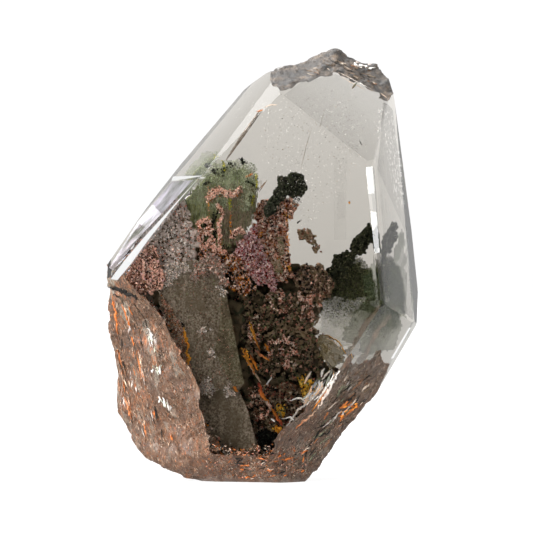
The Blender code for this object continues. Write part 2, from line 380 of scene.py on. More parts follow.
rough = block()
for plane in BREAKS:
    cut(rough, *plane)
rough = remeshed(rough, SKIN_GRAIN)
rough.normal_update()
moves = [vert.normal * skin_height(vert.co) for vert in rough.verts]
for vert, move in zip(rough.verts, moves):
    vert.co += move
print("broken block", len(rough.verts), "points")

# %% [markdown]
# ## Grinding the facets
#
# Every plane takes away what stands beyond it. A number on each face remembers which faces are still
# natural skin, and the finish reads it later: one mesh and one material then carry both the polished glass
# and the stained crust. That matters for clear things, because a ray has to enter and leave through the
# same material to be dimmed on its way.

# %% Grinding the facets
natural = rough.faces.layers.int.new("natural")
for face in rough.faces:
    face[natural] = 1
for plane in polished:
    for face in cut(rough, *plane):
        face[natural] = 0
cut(rough, Vector((0, 0, 0)), Vector((0, 0, -1)))
for face in rough.faces:
    face.smooth = face[natural] == 1
for vert in rough.verts:
    vert.co = Vector(to_metres(vert.co)[0])
open_edges = sum(1 for edge in rough.edges if len(edge.link_faces) != 2)
stone = as_object(rough, "quartz")
print("stone", len(stone.data.polygons), "faces,", open_edges, "open edges")
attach(stone, "root")
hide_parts("quartz_crystal")

# %% [markdown]
# ## Looking into the stone
#
# A mineral inside has to be put where it is seen, but the front facet bends every line of sight. This
# helper follows the line from the eye through a point of the picture, bends it at the facet by the law of
# refraction, and walks on to a chosen depth. With it a mineral can be drawn on the picture and still stand
# at its real place in the stone.

# %% Looking into the stone
QUARTZ_IOR = 1.544


def seen(column, row, depth, facet=FRONT):
    """The place at some depth y inside the stone that is seen through a facet at a point of the picture."""
    column, row, depth = np.broadcast_arrays(
        np.asarray(column, float), np.asarray(row, float), np.asarray(depth, float),
    )
    x, z = flat_place(column, row)
    ray = np.stack([x, np.full_like(x, OUTLINE_DEPTH), z], axis=-1) - EYE
    ray /= np.linalg.norm(ray, axis=-1, keepdims=True)
    level, by_x, by_z = facet
    normal = np.array([by_x, -1.0, by_z])
    reach = (EYE[1] - level - by_x * EYE[0] - by_z * EYE[2]) / (ray @ normal)
    entry = EYE + reach[..., None] * ray
    normal /= np.linalg.norm(normal)
    cosine = -(ray @ normal)
    inner = np.sqrt(1 - (1 - cosine ** 2) / QUARTZ_IOR ** 2)
    bent = ray / QUARTZ_IOR + (cosine / QUARTZ_IOR - inner)[..., None] * normal
    return entry + ((depth - entry[..., 1]) / bent[..., 1])[..., None] * bent


print("the middle of the front, 10 mm down:", np.round(seen(300, 200, -3.0), 2))

# %% [markdown]
# ## Sowing places
#
# Every mineral starts as a bed: an outline on the picture and a span of depth. Places are sown evenly
# inside it, and the sowing is seeded, so that the stone is the same each time.

# %% Sowing places
def within(outline, column, row):
    """Whether places lie inside an outline, by counting how often a line to the right crosses it."""
    hit = np.zeros(column.shape, dtype=bool)
    for (x0, y0), (x1, y1) in zip(outline, outline[1:] + outline[:1]):
        if y0 == y1:
            continue
        crosses = (row < y0) != (row < y1)
        hit ^= crosses & (column < x0 + (row - y0) * (x1 - x0) / (y1 - y0))
    return hit


def frayed(outline, places, fray):
    """Which places of the picture lie inside an outline whose edge wanders in and out by some points."""
    phase = 0.37 * outline[0][0]
    wide = np.array([noise.noise_vector(Vector((c / 8.0, r / 8.0, phase))) for c, r in places])
    fine = np.array([noise.noise_vector(Vector((c / 2.6, r / 2.6, phase))) for c, r in places])
    moved = places + fray * (wide + 0.6 * fine)[:, :2]
    return within(outline, moved[:, 0], moved[:, 1])


def sow(outline, count, near, far, facet=FRONT, fray=5.0):
    """Places inside the stone behind an outline on the picture, between two depths."""
    low, high = np.min(outline, axis=0) - fray, np.max(outline, axis=0) + fray
    found = np.zeros((0, 2))
    while len(found) < count:
        tried = rng.uniform(low, high, size=(2 * count, 2))
        found = np.vstack([found, tried[frayed(outline, tried, fray)]])
    found = found[:count]
    return seen(found[:, 0], found[:, 1], rng.uniform(near, far, count), facet)


def along(line, count, depth, width):
    """Places along a bent line on the picture, scattered to both sides by some points of the picture."""
    line = np.array(line, float)
    lengths = np.linalg.norm(np.diff(line, axis=0), axis=1)
    stations = np.concatenate([[0], np.cumsum(lengths)])
    picks = rng.uniform(0, stations[-1], count)
    column = np.interp(picks, stations, line[:, 0]) + rng.normal(0, width, count)
    row = np.interp(picks, stations, line[:, 1]) + rng.normal(0, width, count)
    return seen(column, row, depth + rng.normal(0, width * POINT, count))


def clumped(places, size, least):
    """Only the places where a slow noise is above some level, so that what is sown gathers in clumps."""
    level = np.array([noise.noise(Vector(place) / size + Vector((4.0, 1.0, 7.0))) for place in places])
    return places[level > least]


# %% [markdown]
# ## Growing a mineral
#
# Grown minerals are spongy: knobs, gaps and frayed edges. A volume does this well. Geometry Nodes fills a
# grid with the nearness to the sown places, roughens it with noise, and draws a surface where the sum
# passes a threshold. Displacing a plain ball would only give bumps; this also gives holes.

# %% Growing a mineral
def grown(name, places, reach, ragged, knob, grain, stretch=1.0):
    """A spongy mesh round some places: reach in mm, ragged as a share of it, and knob and grid sizes."""
    seeds = bpy.data.meshes.new(name + "_seeds")
    seeds.from_pydata([tuple(place) for place in places], [], [])
    item = linked(name, seeds)
    tree = bpy.data.node_groups.new(name + "_growth", "GeometryNodeTree")
    tree.interface.new_socket("Geometry", in_out="INPUT", socket_type="NodeSocketGeometry")
    tree.interface.new_socket("Geometry", in_out="OUTPUT", socket_type="NodeSocketGeometry")
    make, join = tree.nodes.new, tree.links.new
    near = make("GeometryNodeProximity")
    near.target_element = "POINTS"
    join(make("NodeGroupInput").outputs[0], near.inputs[0])
    lumps = make("ShaderNodeTexNoise")
    tune(lumps, Scale=1.0 / knob, Detail=3.0)
    squeezed = make("ShaderNodeVectorMath")
    squeezed.operation = "MULTIPLY"
    squeezed.inputs[1].default_value = (1.0, 1.0, 1.0 / stretch)
    join(make("GeometryNodeInputPosition").outputs[0], squeezed.inputs[0])
    join(squeezed.outputs[0], lumps.inputs["Vector"])
    nearness = make("ShaderNodeMapRange")
    nearness.clamp = False
    join(near.outputs["Distance"], nearness.inputs["Value"])
    tune(nearness, From_Max=reach, To_Min=1.0 - 0.5 * ragged, To_Max=-0.5 * ragged)
    total = make("ShaderNodeMath")
    total.operation = "MULTIPLY_ADD"
    join(lumps.outputs["Fac"], total.inputs[0])
    total.inputs[1].default_value = ragged
    join(nearness.outputs["Result"], total.inputs[2])
    cube = make("GeometryNodeVolumeCube")
    low, high = places.min(axis=0) - 1.5 * reach, places.max(axis=0) + 1.5 * reach
    cube.inputs["Min"].default_value, cube.inputs["Max"].default_value = low, high
    for axis, span in zip("XYZ", high - low):
        cube.inputs["Resolution " + axis].default_value = max(4, int(span / grain))
    join(total.outputs[0], cube.inputs["Density"])
    surface = make("GeometryNodeVolumeToMesh")
    tune(surface, Threshold=0.25)
    join(cube.outputs[0], surface.inputs["Volume"])
    join(surface.outputs[0], make("NodeGroupOutput").inputs[0])
    item.modifiers.new("growth", "NODES").node_group = tree
    bm = evaluated(item)
    return as_piece(bm, name)


def as_piece(bm, name):
    """A mesh in millimetres as a piece of the stone, in metres."""
    for vert in bm.verts:
        vert.co = Vector(to_metres(vert.co)[0])
    for face in bm.faces:
        face.smooth = True
    piece = as_object(bm, name)
    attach(piece, "root")
    print(name, len(piece.data.polygons), "faces")
    return piece

# %% [markdown]
# ## Shader nodes
#
# Every finish below is a small tree of shader nodes. A few short helpers add the nodes that come up again
# and again: noise, a colour ramp, a mix of two colours, a product.

# %% Shader nodes
def wire(source, socket):
    """Joins the output of one node to the input of another in the same tree."""
    socket.id_data.links.new(source, socket)


def new_material(name):
    finish = bpy.data.materials.new(name)
    finish.use_nodes = True
    return finish, finish.node_tree.nodes


def tune(node, **values):
    """Sets inputs of a node by their names, with _ for a space."""
    for name, value in values.items():
        node.inputs[name.replace("_", " ")].default_value = value


def noise_node(nodes, where, scale, detail=4.0, rough=0.6):
    made = nodes.new("ShaderNodeTexNoise")
    tune(made, Scale=scale, Detail=detail, Roughness=rough)
    wire(where, made.inputs["Vector"])
    return made.outputs["Fac"]


def ramp_node(nodes, source, stops):
    """A colour ramp; a stop is (place, colour) with the colour linear."""
    made = nodes.new("ShaderNodeValToRGB")
    elements = made.color_ramp.elements
    while len(elements) < len(stops):
        elements.new(0.5)
    for element, (place, colour) in zip(elements, stops):
        element.position = place
        element.color = (*colour, 1.0)
    wire(source, made.inputs["Fac"])
    return made.outputs["Color"]


def mask_node(nodes, source, start, end, most=1.0):
    """Black up to the start and as light as it gets from the end on."""
    return ramp_node(nodes, source, ((start, (0, 0, 0)), (end, (most, most, most))))


def number_mix(nodes, factor, low, high):
    made = nodes.new("ShaderNodeMapRange")
    wire(factor, made.inputs["Value"])
    tune(made, To_Min=low, To_Max=high)
    return made.outputs["Result"]


def colour_mix(nodes, factor, first, second):
    made = nodes.new("ShaderNodeMix")
    made.data_type = "RGBA"
    wire(factor, made.inputs[0])
    for value, socket in ((first, made.inputs[6]), (second, made.inputs[7])):
        if isinstance(value, tuple):
            socket.default_value = (*value, 1.0)
        else:
            wire(value, socket)
    return made.outputs[2]


def times(nodes, first, second):
    made = nodes.new("ShaderNodeMath")
    made.operation = "MULTIPLY"
    wire(first, made.inputs[0])
    if isinstance(second, float):
        made.inputs[1].default_value = second
    else:
        wire(second, made.inputs[1])
    return made.outputs[0]


def stretched(nodes, where, turn, scale):
    """Places that are squeezed along one direction, so that noise over them makes streaks."""
    made = nodes.new("ShaderNodeMapping")
    made.vector_type = "TEXTURE"
    tune(made, Rotation=turn, Scale=scale)
    wire(where, made.inputs["Vector"])
    return made.outputs["Vector"]


def cells(nodes, where, scale, feature, output):
    made = nodes.new("ShaderNodeTexVoronoi")
    made.feature = feature
    tune(made, Scale=scale)
    wire(where, made.inputs["Vector"])
    return made.outputs[output]

# %% [markdown]
# ## The finish of the quartz
#
# Clear quartz bends light with an index of 1.544 and swallows a little of it on the way, here about a third
# over 30 mm. The skin is the same stone, dulled and stained by iron.

# %% The finish of the quartz
ABSORB_COLOUR = (0.69, 0.67, 0.635)
ABSORB_DENSITY = 115.0

quartz, nodes = new_material("quartz")
shader = nodes["Principled BSDF"]
tune(shader, IOR=QUARTZ_IOR)
where = nodes.new("ShaderNodeTexCoord").outputs["Object"]
is_skin = nodes.new("ShaderNodeAttribute")
is_skin.attribute_name = "natural"
skin = is_skin.outputs["Fac"]
print("quartz absorbs", ABSORB_DENSITY, "per metre")

# %% [markdown]
# ## Streaks of the skin
#
# Streaks run over the broken skin, most of them upright and some along a slope. Low on the right they turn
# greyer and darker, along a slanting line that wanders.

# %% Streaks of the skin
steep = stretched(nodes, where, (0.0, math.radians(-8), 0.0), (1.0, 1.0, 3.6))
slanting = stretched(nodes, where, (0.0, math.radians(38), 0.0), (1.0, 1.0, 3.0))
streaks = noise_node(nodes, steep, 1100.0, 7.0, 0.8)
slant_streaks = noise_node(nodes, slanting, 900.0, 6.0, 0.78)
mixed_streaks = nodes.new("ShaderNodeMix")
mixed_streaks.data_type = "FLOAT"
mixed_streaks.inputs[0].default_value = 0.4
wire(streaks, mixed_streaks.inputs[2])
wire(slant_streaks, mixed_streaks.inputs[3])
tone = ramp_node(nodes, mixed_streaks.outputs[0], (
    (0.4, (0.022, 0.014, 0.009)),
    (0.46, (0.085, 0.049, 0.028)),
    (0.51, (0.115, 0.061, 0.033)),
    (0.57, (0.19, 0.103, 0.058)),
    (0.63, (0.5, 0.38, 0.28)),
))
side = nodes.new("ShaderNodeSeparateXYZ")
wire(where, side.inputs[0])
wander = nodes.new("ShaderNodeMath")
wander.operation = "MULTIPLY_ADD"
wire(noise_node(nodes, where, 180.0, 3.0, 0.6), wander.inputs[0])
wander.inputs[1].default_value = 0.016
lower_right_part = nodes.new("ShaderNodeMath")
lower_right_part.operation = "MULTIPLY_ADD"
wire(side.outputs["Z"], lower_right_part.inputs[0])
lower_right_part.inputs[1].default_value = -0.35
wire(side.outputs["X"], lower_right_part.inputs[2])
wire(lower_right_part.outputs[0], wander.inputs[2])
to_right = mask_node(nodes, times(nodes, wander.outputs[0], 20.0), 0.1, 0.36)
grey_tone = ramp_node(nodes, mixed_streaks.outputs[0], (
    (0.41, (0.014, 0.013, 0.01)),
    (0.49, (0.095, 0.074, 0.052)),
    (0.56, (0.2, 0.15, 0.11)),
    (0.62, (0.6, 0.52, 0.44)),
))
tone = colour_mix(nodes, to_right, tone, grey_tone)

# %% [markdown]
# ## Glass, rust and cracks
#
# Pale grey-green chips look glassy, rust lies in patches, and dark cracks run between the cells of a
# Voronoi pattern. The foot is redder than the rest, and the tip is darker.

# %% Glass, rust and cracks
glassy = cells(nodes, steep, 800.0, "F1", "Color")
glassy_mask = mask_node(nodes, glassy, 0.74, 0.78, 0.75)
tone = colour_mix(nodes, times(nodes, glassy_mask, slant_streaks), tone, (0.55, 0.56, 0.47))
rust = noise_node(nodes, steep, 1250.0, 5.0, 0.7)
rust_patch = mask_node(nodes, noise_node(nodes, where, 170.0, 2.0, 0.5), 0.42, 0.56)
rust_patch = colour_mix(nodes, to_right, rust_patch, (0.25, 0.25, 0.25))
rust_mask = mask_node(nodes, rust, 0.53, 0.62, 0.85)
tone = colour_mix(nodes, times(nodes, rust_mask, rust_patch), tone, (0.52, 0.165, 0.05))
crack = cells(nodes, slanting, 520.0, "DISTANCE_TO_EDGE", "Distance")
crack_mask = ramp_node(nodes, crack, ((0.0, (0.8, 0.8, 0.8)), (0.035, (0, 0, 0))))
tone = colour_mix(nodes, times(nodes, crack_mask, rust_patch), tone, (0.04, 0.025, 0.015))
low_down = ramp_node(
    nodes, times(nodes, side.outputs["Z"], 10.0),
    ((0.08, (0.6, 0.6, 0.6)), (0.34, (0, 0, 0))),
)
tone = colour_mix(nodes, low_down, tone, (0.13, 0.052, 0.02))
at_the_tip = mask_node(nodes, times(nodes, side.outputs["Z"], 10.0), 0.56, 0.59)
tip_tone = ramp_node(nodes, noise_node(nodes, slanting, 900.0, 6.0, 0.72), (
    (0.38, (0.01, 0.007, 0.004)),
    (0.5, (0.036, 0.024, 0.014)),
    (0.64, (0.145, 0.102, 0.066)),
))
tone = colour_mix(nodes, at_the_tip, tone, tip_tone)
print("skin has", len(nodes), "nodes")

# %% [markdown]
# ## Clear glass or crust
#
# The number on each face decides at last: polished faces are clear and smooth, natural ones take the tone,
# are rough and bumpy, and let only part of the light in.

# %% Clear glass or crust
wire(colour_mix(nodes, skin, (1.0, 1.0, 1.0), tone), shader.inputs["Base Color"])
wire(number_mix(nodes, skin, 0.0, 0.34), shader.inputs["Roughness"])
clear_skin = ramp_node(
    nodes, noise_node(nodes, where, 500.0, 5.0, 0.7),
    ((0.4, (0.1, 0.1, 0.1)), (0.6, (0.6, 0.6, 0.6))),
)
transmission = nodes.new("ShaderNodeMix")
transmission.data_type = "FLOAT"
wire(skin, transmission.inputs[0])
transmission.inputs[2].default_value = 1.0
wire(clear_skin, transmission.inputs[3])
wire(transmission.outputs[0], shader.inputs["Transmission Weight"])
bump = nodes.new("ShaderNodeBump")
tune(bump, Distance=0.00035, Strength=0.8)
wire(times(nodes, mixed_streaks.outputs[0], skin), bump.inputs["Height"])
wire(bump.outputs["Normal"], shader.inputs["Normal"])
absorb = nodes.new("ShaderNodeVolumeAbsorption")
tune(absorb, Color=(*ABSORB_COLOUR, 1.0), Density=ABSORB_DENSITY)
wire(absorb.outputs["Volume"], nodes["Material Output"].inputs["Volume"])
stone.data.materials.append(quartz)
print("quartz has", len(nodes), "nodes")

# %% [markdown]
# ## Crumbs
#
# Between the grown masses lie thousands of loose crumbs. Each is a crooked four-sided grain, and all grains
# of a bed are one mesh made from arrays, each with a colour of its own from a short list. Instances would
# be lighter, but an exported model would lose them. Dust is only flakes, folded once in the middle, and a
# needle is a grain that is stretched upright.

# %% Crumbs
GRAIN = (
    np.array([(1, 1, 1), (1, -1, -1), (-1, 1, -1), (-1, -1, 1)], float) * 0.8,
    np.array([(0, 1, 2), (0, 2, 3), (0, 3, 1), (1, 3, 2)]),
)
FLAKE = (
    np.array([(1, 0, 0), (-1, 0, 0), (0, 1, 0.5), (0, -1, 0.5)], float),
    np.array([(0, 2, 1), (0, 1, 3)]),
)


def turns(count):
    """Random rotations as matrices, from random unit quaternions."""
    w, x, y, z = rng.normal(size=(4, count))
    size = np.sqrt(w * w + x * x + y * y + z * z)
    w, x, y, z = w / size, x / size, y / size, z / size
    rows = [
        [1 - 2 * (y * y + z * z), 2 * (x * y - w * z), 2 * (x * z + w * y)],
        [2 * (x * y + w * z), 1 - 2 * (x * x + z * z), 2 * (y * z - w * x)],
        [2 * (x * z - w * y), 2 * (y * z + w * x), 1 - 2 * (x * x + y * y)],
    ]
    return np.moveaxis(np.array(rows), 2, 0)


def tinted(name, points, faces, colours, finish):
    """A piece from arrays, with a colour on each point."""
    mesh = bpy.data.meshes.new(name)
    mesh.from_pydata(to_metres(points).tolist(), [], faces.tolist())
    tint = mesh.color_attributes.new("tint", "FLOAT_COLOR", "POINT")
    tint.data.foreach_set("color", np.hstack([colours, np.ones((len(colours), 1))]).ravel())
    piece = linked(name, mesh)
    piece.data.materials.append(finish)
    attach(piece, "root")
    print(name, len(faces), "faces")
    return piece


def crumbs(name, places, smallest, largest, colours, clump=0.8, kind=GRAIN, needle=1.0, **looks):
    """Crooked grains at some places in one mesh; their colours gather in clumps of some size."""
    count = len(places)
    corners, sides = kind
    size = smallest + (largest - smallest) * rng.power(0.6, (count, 1, 1))
    size = size * rng.uniform(0.5, 1.3, (count, 1, 3))
    shape = corners * size * rng.uniform(0.7, 1.3, (count, len(corners), 3))
    if needle > 1.0:
        shape[:, :, 2] *= needle
    else:
        shape = np.einsum("nij,nkj->nki", turns(count), shape)
    faces = (sides[None] + len(corners) * np.arange(count)[:, None, None]).reshape(-1, 3)
    gathered = np.array([noise.noise(Vector(place) / clump) for place in places]) * 1.3
    rank = (gathered + rng.uniform(0, 0.55, count) + 0.22) % 1.0
    picked = np.array(colours)[(rank * len(colours)).astype(int)] * rng.uniform(0.7, 1.3, (count, 1))
    points = (shape + places[:, None, :]).reshape(-1, 3)
    tints = picked.repeat(len(corners), axis=0)
    return tinted(name, points, faces, tints, looks.get("finish", crumb))


# %% [markdown]
# ## Strands
#
# Stain runs along cracks, and chips show as bright lines. A strand is a crooked three-sided sliver along a
# line on the picture: it tapers to both ends, and its colour runs from one to the other. A line that leaves
# the stone, or leaps over a deep step of its skin, is left out.

# %% Strands
LARGEST_LEAP = 4.0


def strands(name, lines, finish, facet=None, sway=0.18, look=seen):
    """Slivers inside the stone; a line is (places on the picture, width, depth, first and last colour)."""
    points, faces, tints = [], [], []
    for line, width, depth, first, last in lines:
        line = np.array(line, float)
        stations = np.concatenate([[0], np.cumsum(np.linalg.norm(np.diff(line, axis=0), axis=1))])
        count = max(4, int(stations[-1] / 1.5))
        at = np.linspace(0, 1, count)
        middle = np.stack([np.interp(at * stations[-1], stations, line[:, i]) for i in (0, 1)], axis=1)
        middle += rng.normal(0, sway * width, (count, 2))
        run = np.gradient(middle, axis=0)
        run /= np.linalg.norm(run, axis=1, keepdims=True) + 1e-9
        half = 0.5 * width * np.sin(np.pi * np.clip(at, 0.06, 0.94)) ** 0.6 * rng.uniform(0.6, 1.3, count)
        across = np.stack([-run[:, 1], run[:, 0]], axis=1) * half[:, None]
        sides = [middle + across, middle - across, middle]
        depths = [depth, depth, depth - 0.5 * width * POINT]
        ring = np.stack(
            [look(side[:, 0], side[:, 1], deep, facet or FRONT) for side, deep in zip(sides, depths)],
            axis=1,
        )
        if not np.ptp(ring[:, :, 1]) < LARGEST_LEAP:
            continue
        start = sum(len(made) for made in points)
        points.append(ring.reshape(-1, 3))
        for i in range(start, start + 3 * (count - 1), 3):
            faces += [(i, i + 1, i + 4, i + 3), (i + 1, i + 2, i + 5, i + 4), (i + 2, i, i + 3, i + 5)]
        shade = np.array(first) * (1 - at[:, None]) + np.array(last) * at[:, None]
        tints.append((shade * rng.uniform(0.75, 1.25, (count, 1))).repeat(3, axis=0))
    return tinted(name, np.vstack(points), np.array(faces), np.vstack(tints), finish)


def fan(outline, count, lean, reach, width, depth, colours):
    """Short slivers at random inside an outline, all leaning by (columns, rows), with a reach in points."""
    low, high = np.min(outline, axis=0), np.max(outline, axis=0)
    tried = rng.uniform(low, high, size=(6 * count, 2))
    starts = tried[within(outline, tried[:, 0], tried[:, 1])][:count]
    made = []
    for column, row in starts:
        turn = np.array(lean) + rng.normal(0, 0.18, 2)
        end = np.array([column, row]) + turn * rng.uniform(*reach)
        colour = colours[rng.integers(len(colours))]
        if not within(outline, end[:1], end[1:])[0]:
            continue
        made.append(
            ([(column, row), tuple(end)], rng.uniform(*width), depth + rng.normal(0, 0.15), colour, colour)
        )
    return made


# %% [markdown]
# ## Marks on the broken skin
#
# The skin is scratchy: thousands of thin splinters of broken quartz, iron stain and dirt lie on it, mostly
# upright. They are sown over all natural faces, so that the back of the stone has them too.

# %% Marks on the broken skin
SCATTER, RIDGE = 0.17, 0.03


def skin_places(count):
    """Places spread evenly over the broken skin, in millimetres, with the way out at each."""
    sides = len(stone.data.polygons)
    is_natural, area = np.zeros(sides, np.int32), np.zeros(sides)
    centre, normal = np.zeros(3 * sides), np.zeros(3 * sides)
    stone.data.attributes["natural"].data.foreach_get("value", is_natural)
    stone.data.polygons.foreach_get("area", area)
    stone.data.polygons.foreach_get("center", centre)
    stone.data.polygons.foreach_get("normal", normal)
    centre = centre.reshape(-1, 3) / MM + np.array([FOOTPRINT_MIDDLE[0], FOOTPRINT_MIDDLE[1], 0.0])
    chance = area * is_natural * (centre[:, 2] > 0.5) * (centre[:, 2] < 55.0)
    in_order = np.lexsort(np.round(centre, 3).T)
    chance = chance[in_order] / chance.sum()
    picks = in_order[rng.choice(sides, count, p=chance)]
    return centre[picks], normal.reshape(-1, 3)[picks]


def splinters(name, count, left_colours, right_colours, finish):
    """Thin flat splinters on the skin; they lean left on the left side and right on the right side."""
    places, ways = skin_places(count)
    to_the_right = np.clip((places[:, 0] - 0.35 * places[:, 2] + 4.0) / 8.0, 0, 1)
    lean = np.radians(-10 + 48 * to_the_right) + rng.normal(0, 0.35, count)
    upright = np.stack([np.sin(lean), 0.02 * lean, np.cos(lean)], axis=1)
    along_skin = upright - (upright * ways).sum(axis=1, keepdims=True) * ways
    along_skin /= np.linalg.norm(along_skin, axis=1, keepdims=True) + 1e-9
    across = np.cross(ways, along_skin)
    length = 0.12 + 0.9 * rng.power(0.5, (count, 1))
    width = rng.uniform(0.03, 0.1, (count, 1))
    sideways = rng.uniform(-SCATTER, SCATTER, (count, 1))
    lengthways = rng.uniform(-SCATTER, SCATTER, (count, 1))
    places = places + sideways * across + lengthways * along_skin
    raised = RIDGE * ways
    corners = (
        along_skin * length / 2, -along_skin * length / 2, across * width / 2 + raised,
        raised - across * width / 2,
    )
    points = np.stack([places + corner for corner in corners], axis=1).reshape(-1, 3)
    faces = (FLAKE[1][None] + 4 * np.arange(count)[:, None, None]).reshape(-1, 3)
    gathered = np.array([noise.noise(Vector(place) / 1.1) for place in places]) * 1.2
    rank = (gathered + rng.uniform(0, 0.6, count) + 0.2) % 1.0
    on_left = np.array(left_colours)[(rank * len(left_colours)).astype(int)]
    on_right = np.array(right_colours)[(rank * len(right_colours)).astype(int)]
    picked = np.where((to_the_right > rng.uniform(0, 1, count))[:, None], on_right, on_left)
    return tinted(
        name, points, faces, (picked * rng.uniform(0.7, 1.3, (count, 1))).repeat(4, axis=0), finish,
    )


stone_tree = BVHTree.FromObject(stone, bpy.context.evaluated_depsgraph_get())


def on_skin(column, row, depth, facet=None):
    """The places on the stone's outside at points of the picture, pushed in by a depth; nan beside it."""
    eye = Vector(to_metres(EYE)[0])
    found = []
    for c, r, d in np.broadcast(column, row, depth):
        x, z = flat_place(c, r)
        aim = Vector(to_metres((x, OUTLINE_DEPTH, z))[0])
        hit = stone_tree.ray_cast(eye, (aim - eye).normalized())[0]
        if hit:
            found.append(
                (hit.x / MM + FOOTPRINT_MIDDLE[0], hit.y / MM + FOOTPRINT_MIDDLE[1] + d, hit.z / MM)
            )
        else:
            found.append((np.nan, np.nan, np.nan))
    return np.array(found)


# %% [markdown]
# ## Finishes of the minerals
#
# A grown mass is painted light on its knobs and painted dark in its gaps, a painted highlight and painted
# shade. The shader reads how much a place sticks out, which Blender calls pointiness, mixes a deep colour and
# a light one by it, and lets noise turn some knobs to a third colour.

# %% Finishes of the minerals
def grown_finish(name, deep, middle, light, odd, scale=900.0, odd_share=0.6):
    finish, nodes = new_material(name)
    shader = nodes["Principled BSDF"]
    tune(shader, Roughness=0.85, Specular_IOR_Level=0.2)
    where = nodes.new("ShaderNodeTexCoord").outputs["Object"]
    sticks_out = nodes.new("ShaderNodeNewGeometry").outputs["Pointiness"]
    # Pointiness sets painted light: knobs are painted lighter as highlight, gaps darker as shade.
    height = mask_node(nodes, sticks_out, 0.4, 0.56)
    grit = noise_node(nodes, where, 2.2 * scale, 3.0, 0.7)
    mixed = nodes.new("ShaderNodeMath")
    mixed.operation = "MULTIPLY_ADD"
    wire(grit, mixed.inputs[0])
    mixed.inputs[1].default_value = 0.9
    knob_highlight_gap_shade = nodes.new("ShaderNodeMath")
    knob_highlight_gap_shade.operation = "MULTIPLY_ADD"
    wire(height, knob_highlight_gap_shade.inputs[0])
    knob_highlight_gap_shade.inputs[1].default_value = 0.75
    knob_highlight_gap_shade.inputs[2].default_value = -0.32
    wire(knob_highlight_gap_shade.outputs[0], mixed.inputs[2])
    body = ramp_node(nodes, mixed.outputs[0], ((0.18, deep), (0.45, middle), (0.75, light)))
    patch = noise_node(nodes, where, 0.55 * scale, 3.0, 0.6)
    patch_mask = ramp_node(nodes, patch, ((odd_share, (0, 0, 0)), (odd_share + 0.05, (1, 1, 1))))
    turned = colour_mix(nodes, patch_mask, body, odd)
    wire(turned, shader.inputs["Base Color"])
    return finish


def crumb_finish(name, cover=1.0, painted_glow=0.0):
    """The tint of each grain with some grit; cover lets part of the light through, and painted_glow makes it
    glow as a painted highlight that no lamp gives.
    """
    finish, nodes = new_material(name)
    shader = nodes["Principled BSDF"]
    tune(
        shader, Roughness=0.8, Alpha=cover, Emission_Color=(1.0, 1.0, 1.0, 1.0), Emission_Strength=painted_glow,
        Specular_IOR_Level=0.3,
    )
    tint = nodes.new("ShaderNodeAttribute")
    tint.attribute_name = "tint"
    where = nodes.new("ShaderNodeTexCoord").outputs["Object"]
    grit = noise_node(nodes, where, 3000.0, 2.0, 0.6)
    worn = colour_mix(nodes, grit, (0.55, 0.55, 0.55), (1.3, 1.3, 1.3))
    blend = nodes.new("ShaderNodeMix")
    blend.data_type = "RGBA"
    blend.blend_type = "MULTIPLY"
    blend.inputs[0].default_value = 1.0
    wire(tint.outputs["Color"], blend.inputs[6])
    wire(worn, blend.inputs[7])
    wire(blend.outputs[2], shader.inputs["Base Color"])
    return finish


PINK, PALE_PINK, ROSE = (0.88, 0.5, 0.38), (1.0, 0.8, 0.68), (0.66, 0.28, 0.2)
LILAC, PALE_LILAC, CRIMSON = (0.78, 0.46, 0.48), (1.0, 0.8, 0.82), (0.5, 0.06, 0.06)
SALMON = (0.94, 0.6, 0.47)
BLOOD, RUST, ORANGE = (0.16, 0.03, 0.015), (0.5, 0.16, 0.04), (0.95, 0.34, 0.04)
AMBER, BROWN = (0.85, 0.42, 0.06), (0.22, 0.11, 0.06)
SOOT, BLACK_GREEN, MOSS = (0.01, 0.008, 0.006), (0.007, 0.01, 0.006), (0.055, 0.07, 0.034)
OLIVE, SAGE, PALE_SAGE = (0.24, 0.26, 0.12), (0.42, 0.47, 0.29), (0.66, 0.7, 0.56)
EARTH, DUN, SAND = (0.12, 0.08, 0.05), (0.34, 0.25, 0.18), (0.66, 0.53, 0.42)
CHALK, YELLOW, TAN = (0.9, 0.87, 0.82), (0.65, 0.56, 0.04), (0.58, 0.43, 0.31)
DEEP_ROSE, RED_BROWN = (0.3, 0.1, 0.07), (0.24, 0.1, 0.06)
SMOKE, STONE_GREY = (0.185, 0.148, 0.108), (0.5, 0.44, 0.4)

rosy_finish = grown_finish("rosy_core", SOOT, (0.12, 0.045, 0.03), PINK, BROWN, 1600.0, 0.52)
lilac_finish = grown_finish("lilac_core", SOOT, (0.2, 0.06, 0.07), LILAC, CRIMSON, 1700.0, 0.6)
dark_heart_and_shade_finish = grown_finish(
    "dark_minerals_and_painted_shade", SOOT, (0.055, 0.042, 0.026), (0.13, 0.1, 0.06), (0.05, 0.055, 0.03), 1500.0, 0.54,
)
black_finish = grown_finish(
    "dark_chlorite", (0.002, 0.003, 0.002), BLACK_GREEN, (0.045, 0.05, 0.03), (0.14, 0.13, 0.1), 1700.0,
    0.62,
)
brown_finish = grown_finish(
    "brown_minerals", SOOT, (0.12, 0.09, 0.05), (0.3, 0.22, 0.14), (0.1, 0.11, 0.05), 1300.0,
)
bank_finish = grown_finish(
    "granular_bank", EARTH, (0.3, 0.24, 0.2), (0.62, 0.52, 0.47), DUN, 1600.0, 0.6,
)
crumb = crumb_finish("crumbs")
# A see-through finish for the painted reflection streaks in the left facet.
reflection_streak_finish = crumb_finish("clouds_and_reflections", cover=0.42)
# This finish glows by emission: painted highlights on specks, slivers, seams and sparks.
painted_glint = crumb_finish("glints", painted_glow=0.9)

# %% [markdown]
# ## The garden
#
# The mass that gives the stone its name rises from the base. A dark heart carries it, and pink and lilac
# growth stands before it, so that the heart shows as dark gaps: partly a dark mineral, partly painted shade.

# %% The garden
def dressed(piece, finish, slot, *stands_for):
    piece.data.materials.append(finish)
    if stands_for:
        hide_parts(*stands_for)
    return piece


